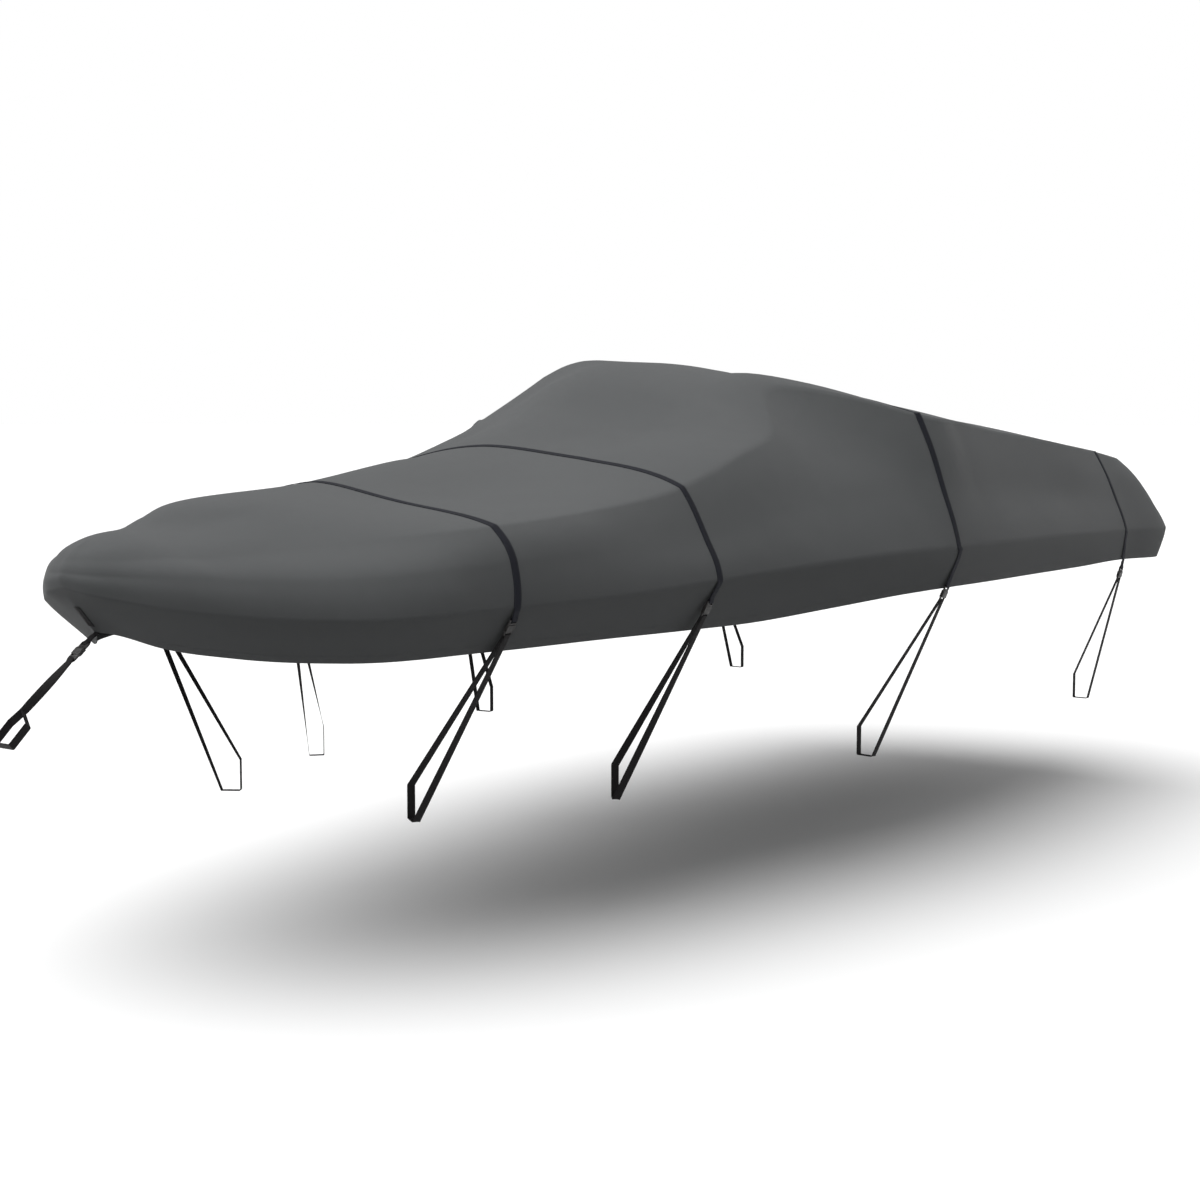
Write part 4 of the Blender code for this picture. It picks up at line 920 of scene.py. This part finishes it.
def tieDown(number, row, solid, fine):
    column, rings = solid["pairs"][number], solid["rings"]
    coarse, at = solid["outer"], solid["columns"].index(column)
    low = int(np.argmin(np.abs(rings[: solid["middle"] + 1] - 4)))
    fineAt = int(np.argmin(np.abs(np.array(fine["columns"]) - column)))
    fineRows = np.where(fine["rings"] <= 4.0 + 1e-6)[0]     # from knuckle to knuckle
    edgeA, edgeB = fine["outer"][fineRows, fineAt], fine["outer"][fineRows, fineAt + 1]
    lean = unit(fine["normal"][fineRows, fineAt] + fine["normal"][fineRows, fineAt + 1])
    rise = webbing["overCloth"] + webbing["thick"] / 2
    seam = list((edgeA + edgeB) / 2 + lean * rise)
    seamWidths = list(unit(edgeB - edgeA))
    runs, found = {}, []
    for sideName, side in sides:
        cloth = coarse[: low + 2][::-1] if side < 0 else coarse[-low - 2:]
        strip = cloth[:, at: at + 2]
        end = 0 if side < 0 else -1
        solidRow = low if side < 0 else -low - 1
        middle = coarse[solidRow, at: at + 2].mean(axis=0)
        up = unit(solid["normal"][solidRow, at: at + 2].mean(axis=0))
        last = middle + up * rise
        path, bar, heading, across, out = sideRun(side, last, strip, row)
        turn = barTurn(bar, heading, out, webbing["joinLength"])
        back = unit(path[-1] - turn[0])
        aside = unit(out - (out @ back) * back)
        tail = turn[-1] + back * (webbing["tail"] - webbing["joinLength"])
        close = []
        for start, stop in zip(path[1:], path[2:] + [turn[0]]):
            close += [start] + stepsBetween(start, stop, webbing["step"])
        lying = seamWidths[end] if seamWidths[end][0] > 0 else -seamWidths[end]
        steps = len(close)
        widths = [lying + (across - lying) * min(1.0, (i + 1) / steps) for i in range(steps)]
        runs[side] = (close + turn + [tail], widths + [across] * (len(turn) + 1))
        mouth = bar + heading * (buckle["base"] - buckle["bar"] / 2)
        lower = mouth + heading * (buckle["housing"] - buckle["bar"] / 2)
        name = f"{number + 1}_{sideName}"
        loopPath, loopWidths = railLoop(lower, heading, across, out, side, row)
        found.append({"name": name, "mouth": mouth, "heading": heading, "across": across,
                      "out": out, "loop": (loopPath, loopWidths),
                      "tack": (turn[0], back, across, aside)})
    portRun, portWidths = runs[-1.0]
    starRun, starWidths = runs[1.0]
    path = portRun[::-1] + seam + starRun
    widths = portWidths[::-1] + seamWidths + starWidths
    seamSpan = (len(portRun), len(portRun) + len(seam))
    top = len(portRun) + len(seam) // 2
    frames = framesAlong(path, widths)
    if frames[2][top][2] < 0:
        frames = (frames[0], -frames[1], -frames[2])
    return frames, seamSpan, found


# A row of stitches: each is a short thread that lies along the row
stitch = {
    "pitch": 0.0052,
    "length": 0.0040,
    "thread": 0.0010,
    "uneven": 0.12,
    "inset": 0.0030,         # rows run this far inside the webbing's edges
    "lift": 0.0001,
    "tack": (0.0165, 0.0300),    # the tail's box of stitches, from and to, off the bar
    "tackHalf": 0.0090,
    "hemRing": 4.80,
}


def stitchTree():
    tree = bpy.data.node_groups.new("stitchRow", "GeometryNodeTree")
    sockets = (("Geometry", "NodeSocketGeometry"), ("Pitch", "NodeSocketFloat"),
               ("Length", "NodeSocketFloat"), ("Thread", "NodeSocketFloat"),
               ("Uneven", "NodeSocketFloat"), ("Seed", "NodeSocketInt"),
               ("Finish", "NodeSocketMaterial"))
    for label, kind in sockets:
        tree.interface.new_socket(label, in_out="INPUT", socket_type=kind)
    tree.interface.new_socket("Geometry", in_out="OUTPUT", socket_type="NodeSocketGeometry")
    source = addNode(tree, "NodeGroupInput", (-900, 0))
    result = addNode(tree, "NodeGroupOutput", (900, 0))
    given = source.outputs
    curve = addNode(tree, "GeometryNodeMeshToCurve", (-700, 0), Mesh=given["Geometry"])
    spaced = addNode(tree, "GeometryNodeResampleCurve", (-520, 0), mode="LENGTH",
                     Curve=curve.outputs[0], Length=given["Pitch"])
    tangent = addNode(tree, "GeometryNodeInputTangent", (-520, -260))
    turn = addNode(tree, "FunctionNodeAlignRotationToVector", (-320, -260), axis="Z",
                   Vector=tangent.outputs[0])
    ball = addNode(tree, "GeometryNodeMeshIcoSphere", (-320, 220), Radius=0.5)
    smooth = addNode(tree, "GeometryNodeSetShadeSmooth", (-140, 220), Geometry=ball.outputs[0])
    chance = addNode(tree, "FunctionNodeRandomValue", (-520, -480), data_type="FLOAT",
                     Seed=given["Seed"])
    shorter = mathNode(tree, "MULTIPLY", (-700, -480), given["Uneven"], -1.0)
    tree.links.new(shorter, chance.inputs[2])
    tree.links.new(given["Uneven"], chance.inputs[3])
    longer = mathNode(tree, "ADD", (-320, -480), chance.outputs[1], 1.0)
    size = addNode(tree, "ShaderNodeCombineXYZ", (0, -420), X=given["Thread"], Y=given["Thread"],
                   Z=mathNode(tree, "MULTIPLY", (-140, -480), longer, given["Length"]))
    placed = addNode(tree, "GeometryNodeInstanceOnPoints", (200, 0), Points=spaced.outputs[0],
                     Instance=smooth.outputs[0], Rotation=turn.outputs[0], Scale=size.outputs[0])
    real = addNode(tree, "GeometryNodeRealizeInstances", (420, 0), Geometry=placed.outputs[0])
    coloured = addNode(tree, "GeometryNodeSetMaterial", (620, 0), Geometry=real.outputs[0],
                       Material=given["Finish"])
    tree.links.new(coloured.outputs[0], result.inputs["Geometry"])
    return tree


def stitchRows(name, tree, rows, material, seed):
    points, edges = [], []
    for row in rows:
        edges += [(len(points) + i, len(points) + i + 1) for i in range(len(row) - 1)]
        points += [tuple(map(float, p)) for p in row]
    mesh = bpy.data.meshes.new(name)
    mesh.from_pydata(points, edges, [])
    obj = bpy.data.objects.new(name, mesh)
    bpy.context.scene.collection.objects.link(obj)
    modifier = obj.modifiers.new("stitches", "NODES")
    modifier.node_group = tree
    values = {"Pitch": stitch["pitch"], "Length": stitch["length"], "Thread": stitch["thread"],
              "Uneven": stitch["uneven"], "Seed": seed, "Finish": material}
    for item in tree.interface.items_tree:
        if item.item_type == "SOCKET" and item.in_out == "INPUT" and item.name in values:
            modifier[item.identifier] = values[item.name]
    finishedMesh(obj)
    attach(obj, "root")


def tackRows(corner, back, across, out):
    near, far = stitch["tack"]
    half, rise = across * stitch["tackHalf"], out * (webbing["thick"] / 2 + stitch["lift"])

    def at(along, side):
        return corner + back * (along - webbing["joinLength"]) + half * side + rise

    box = [at(near, -1), at(near, 1), at(far, 1), at(far, -1), at(near, -1)]
    return [box, [at(near, -1), at(far, 1)], [at(near, 1), at(far, -1)]]


# Grip ribs on a buckle's outer face: how far from the mouth, half length, width and height
gripRibs = {
    "housing": ((0.0045, 0.0105), (0.0075, 0.0115), (0.0225, 0.0095)),
    "insert": ((-0.0025, 0.0120),),
    "width": 0.0012,
    "height": 0.0005,
}


def detailedBuckle(node, half, place, material):
    mouth, across, heading, out = place
    work = bmesh.new()
    work.from_mesh(node.data)
    bmesh.ops.remove_doubles(work, verts=work.verts, dist=buckle["weld"])
    bmesh.ops.dissolve_limit(work, angle_limit=math.radians(buckle["flat"]), verts=work.verts,
                             edges=work.edges)
    mesh = bpy.data.meshes.new(f"{node.name}Moulded")
    work.to_mesh(mesh)
    work.free()
    mesh.transform(node.matrix_world)
    piece = bpy.data.objects.new(mesh.name, mesh)
    bpy.context.scene.collection.objects.link(piece)
    rise = gripRibs["height"]
    surface = buckle["depth"] / 2 if half == "housing" else buckle["barDepth"] / 2
    turn = np.stack([across, heading, out], axis=1)
    for along, long in gripRibs[half]:
        w = gripRibs["width"] / 2
        corners = [mouth + turn @ np.array((x, along + y, surface + z))
                   for z, k in ((-rise, 1.0), (rise, 0.6)) for x, y in
                   ((-long, -w * k), (long, -w * k), (long, w * k), (-long, w * k))]
        faces = [(3, 2, 1, 0), (4, 5, 6, 7)]
        faces += [(k, (k + 1) % 4, (k + 1) % 4 + 4, k + 4) for k in range(4)]
        rib = meshObject("gripRib", corners, faces, [], smooth=False)
        faceOutward(rib)
        join = piece.modifiers.new("rib", "BOOLEAN")
        join.operation = "UNION"
        join.solver = "EXACT"
        join.object = rib
        finishedMesh(piece)
        bpy.data.objects.remove(rib, do_unlink=True)
    soft = piece.modifiers.new("edges", "BEVEL")
    soft.width = buckle["edge"]
    soft.segments = 2
    soft.limit_method = "ANGLE"
    soft.angle_limit = math.radians(buckle["rounded"])
    soft.use_clamp_overlap = True
    finishedMesh(piece)
    piece.data.materials.clear()
    piece.data.materials.append(material)
    piece.data.polygons.foreach_set("use_smooth", [True] * len(piece.data.polygons))
    piece.data.set_sharp_from_angle(angle=math.radians(buckle["corner"]))
    faceOutward(piece)
    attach(piece, "root")
    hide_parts(node.name)


bow = {
    "patch": (4.40, 4.86),   # rings between which the patch is sewn on the stem
    "line": ((-2.686, 0.0, 1.0475), (-2.924, 0.0, 0.862)),
    "toBar": 0.030,
    "stemGap": 0.0009,
    "postWidth": 0.077,
    "postCorners": ((-2.938, -1, 0.829), (-2.993, -1, 0.778),
                    (-2.993, 1, 0.778), (-2.938, 1, 0.829)),
    "join": 0.010,
    "tail": 0.014,
    "loopJoin": 0.012,
    "steps": 30,
    "drop": 0.006,           # the tab flattens over this length below the hem
    "shares": (1.0, 0.66, 0.33, 0.12, 0.0),    # points of a folded section, of half the width
    "seamShare": 0.76,       # and how far out the patch's stitches run
    "reach": 6,              # columns of the fine mesh that the folded webbing may touch
}


def stemSpot(port, normal, share):
    # port and normal run from the centreline outward along one row of the surface
    y, far = share * webbing["width"] / 2, np.abs(port[:, 1])
    spot, lean = (np.array([np.interp(y, far, part[:, k]) for k in range(3)])
                  for part in (port, normal))
    return spot, unit(lean)


def foldedSection(port, normal, low, high):
    middle = [stemSpot(port, normal, share) for share in bow["shares"]]
    flip = np.array([1.0, -1.0, 1.0])
    spots = middle + [(p * flip, n * flip) for p, n in middle[-2::-1]]
    near = [p + n * high for p, n in spots]
    back = [p + n * low for p, n in spots]
    return near + back[::-1]


def sectionPiece(name, sections, material):
    sections = np.asarray(sections, float)
    count, size = sections.shape[:2]
    path = sections.mean(axis=1)
    length = np.concatenate([[0.0], np.cumsum(np.linalg.norm(np.diff(path, axis=0), axis=1))])
    girth = np.linalg.norm(sections - np.roll(sections, 1, axis=1), axis=2).mean(axis=0)
    around = np.concatenate([[0.0], np.cumsum(girth[1:]), [girth.sum()]])
    faces, uv = tubeFaces(length, around)
    for i in (0, count - 1):
        for k in range(size // 2 - 1):
            corners = (k, k + 1, size - 2 - k, size - 1 - k)
            faces.append(tuple(size * i + c for c in corners))
            uv += [(length[i], around[c]) for c in corners]
    return strapMesh(name, sections.reshape(-1, 3), faces, material, uv)


def bowWebbing(fine, stitches):
    outer, normal, rings = fine["outer"], fine["normal"], fine["rings"]
    inner = outer - normal * coverShape["cloth"]
    drop = np.array([0.0, 0.0, coverShape["originHeight"]])
    low, high = bow["stemGap"], bow["stemGap"] + webbing["thick"]
    reach = bow["reach"]
    half = range(len(rings) // 2)
    patchRows = [r for r in half if bow["patch"][0] <= rings[r] <= bow["patch"][1]]
    patch = sectionPiece("bowPatch", [
        foldedSection(outer[r, :reach], normal[r, :reach], low, high) for r in patchRows],
        finish["loose"])
    row = []
    for r in patchRows:
        spot, lean = stemSpot(outer[r, :reach], normal[r, :reach], bow["seamShare"])
        row.append(spot + lean * (high + stitch["lift"]))
    # The second row isn't mirrored to starboard yet, so it lies in the first one.
    seam = [row, row] + [[row[i], row[i]] for i in (0, -1)]
    stitchRows("bowStitches", stitches, seam, finish["thread"], seed=31)

    start, split = (np.array(p) - drop for p in bow["line"])
    down, across = unit(split - start), np.array([0.0, 1.0, 0.0])
    out = unit(np.array([down[2], 0.0, -down[0]]))
    bar = start + down * bow["toBar"]
    turn = barTurn(bar, down, out, bow["join"])
    run = [start, start + down * bow["drop"]] + turn + [bar - down * bow["tail"] - out * ply]
    path, width, lean = framesAlong(run, across)
    size = 2 * len(bow["shares"]) - 1
    spread = np.linspace(-1, 1, size)
    flat = []
    for p, a, o in zip(path, width, lean):
        top = [p + a * x * webbing["width"] / 2 + o * webbing["thick"] / 2 for x in spread]
        flat.append(top + [q - o * webbing["thick"] for q in top[::-1]])
    tabRows = [r for r in half if rings[r] >= bow["patch"][0]]
    inside = [foldedSection(inner[r, :reach], normal[r, :reach], -high, -low)
              for r in tabRows][::-1]
    if (np.array(inside[-1][0]) - inside[-1][size - 1]) @ (flat[0][0] - flat[0][size - 1]) < 0:
        flat = [f[:size][::-1] + f[size:][::-1] for f in flat]
    if (np.array(inside[-1][0]) - inside[-1][-1]) @ (flat[0][0] - flat[0][-1]) < 0:
        flat = [f[size:][::-1] + f[:size][::-1] for f in flat]
    tab = sectionPiece("bowTab", inside + flat, finish["loose"])

    mouth = bar + down * (buckle["bowBase"] - buckle["bar"] / 2)
    lower = mouth + down * (buckle["bowHousing"] - buckle["bar"] / 2)
    loopTurn = barTurn(lower, -down, out, bow["loopJoin"])
    total = np.linalg.norm(split - lower)
    upperPath, lowerPath, widths = [], [], []
    for i in range(1, bow["steps"] + 1):
        share = i / bow["steps"]
        along = bow["loopJoin"] + (total - bow["loopJoin"]) * share
        angle = math.radians(90) * share
        facing = out * math.cos(angle) - across * math.sin(angle)
        widths.append(across * math.cos(angle) + out * math.sin(angle))
        upperPath.append(lower + down * along + facing * ply)
        lowerPath.append(lower + down * along - facing * ply)
    post = np.array([[x, y * bow["postWidth"] / 2, z] for x, y, z in bow["postCorners"]]) - drop
    around = [upperPath[-1], *post, lowerPath[-1]]
    corners = []
    for i in range(1, len(around) - 1):
        corners += roundCorner(around[i - 1], around[i], around[i + 1], webbing["cornerRadius"])
    axis = unit(np.cross(post[1] - post[0], across))
    axis = axis if axis @ widths[-1] > 0 else -axis
    path = loopTurn[::-1] + upperPath + corners + lowerPath[::-1]
    allWidths = [across] * len(loopTurn) + widths + [axis] * len(corners) + widths[::-1]
    frames = framesAlong(path, allWidths, closed=True)
    loop = webPiece("bowLoop", frames, finish["loose"], closed=True)
    for piece, node in ((patch, "bow_patch"), (tab, "bow_tab"), (loop, "bow_loop")):
        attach(piece, "root")
        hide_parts(node)
    return mouth, across, down, out


weave, ribs, mottle = plainWeaveGroup(), ribbedWeaveGroup(), mottleGroup()
finish = {
    "cloth": clothMaterial("wovenCloth", weave, mottle, clothLook, 0.10),
    "coating": clothMaterial("coatedInside", weave, mottle, coatingLook, 0.0),
    "webbing": webbingMaterial("seamWebbing", ribs, mottle, webbingLook),
    "loose": webbingMaterial("strapWebbing", ribs, mottle, looseLook),
    "buckle": mouldedMaterial("mouldedPlastic", mottle, buckleLook),
    "thread": threadMaterial("seamThread", mottle, threadLook),
    "hemThread": threadMaterial("hemThread", mottle, hemThreadLook),
}
addCamera()
addLights()
addFloor()

columns, pairs = solidColumns(webbing["width"])
outer, normal, rings, middle = coverSurface(
    columns, coverShape["rows"], coverShape["hemRows"]["solid"], broadFolds)
solid = {"outer": outer, "normal": normal, "rings": rings, "middle": middle,
         "columns": columns, "pairs": pairs}
closer = fineColumns(columns)
fineRowCounts = [count * coverShape["rowSplit"] for count in coverShape["rows"]]
outer, normal, rings, middle = coverSurface(
    closer, fineRowCounts, coverShape["hemRows"]["fine"], broadFolds + fineFolds)
fine = {"outer": outer, "normal": normal, "rings": rings, "columns": closer}
print("cloth grid:", outer.shape)

cloth = clothPiece("coverCloth", outer, normal, rings, [finish["cloth"], finish["coating"]])
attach(cloth, "root")
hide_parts("cover")
area = sum(p.area for p in cloth.data.polygons)
print("cloth:", len(cloth.data.polygons), "faces, area of both faces", round(area, 2))

# One row of stitches just above the hem's upper edge, on each side
hemRows = []
for edge in (range(middle), range(len(rings) - 1, middle, -1)):
    row = min(edge, key=lambda r: abs(rings[r] - stitch["hemRing"]))
    hemRows.append(outer[row] + normal[row] * stitch["lift"])
stitches = stitchTree()
stitchRows("hemStitches", stitches, hemRows, finish["hemThread"], seed=3)
print("hem stitched")

buckleAt = {}
for number, row in enumerate(tieDowns):
    frames, span, found = tieDown(number, row, solid, fine)
    strap = webPiece(f"seamWebbing{number + 1}", frames, finish["webbing"])
    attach(strap, "root")
    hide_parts(f"webbing{number + 1}")
    path, across, out = (part[span[0]:span[1]] for part in frames)
    inset = webbing["width"] / 2 - stitch["inset"]
    rise = webbing["thick"] / 2 + stitch["lift"]
    rows = [path + across * side * inset + out * rise for side in (-1, 1)]
    for item in found:
        rows += tackRows(*item["tack"])
        loopFrames = framesAlong(*item["loop"], closed=True)
        loop = webPiece(f"railStrap{item['name']}", loopFrames, finish["loose"], closed=True)
        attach(loop, "root")
        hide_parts(f"rail_loop{item['name']}")
        buckleAt[f"buckle{item['name']}"] = [item[k] for k in ("mouth", "across", "heading", "out")]
    stitchRows(f"seamStitches{number + 1}", stitches, rows, finish["thread"],
               seed=10 + number)
print("tie-downs done")

buckleAt["bow_buckle"] = bowWebbing(fine, stitches)
for name, place in buckleAt.items():
    for half in ("housing", "insert"):
        detailedBuckle(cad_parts[f"{name}_{half}"], half, place, finish["buckle"])
print("buckles done")
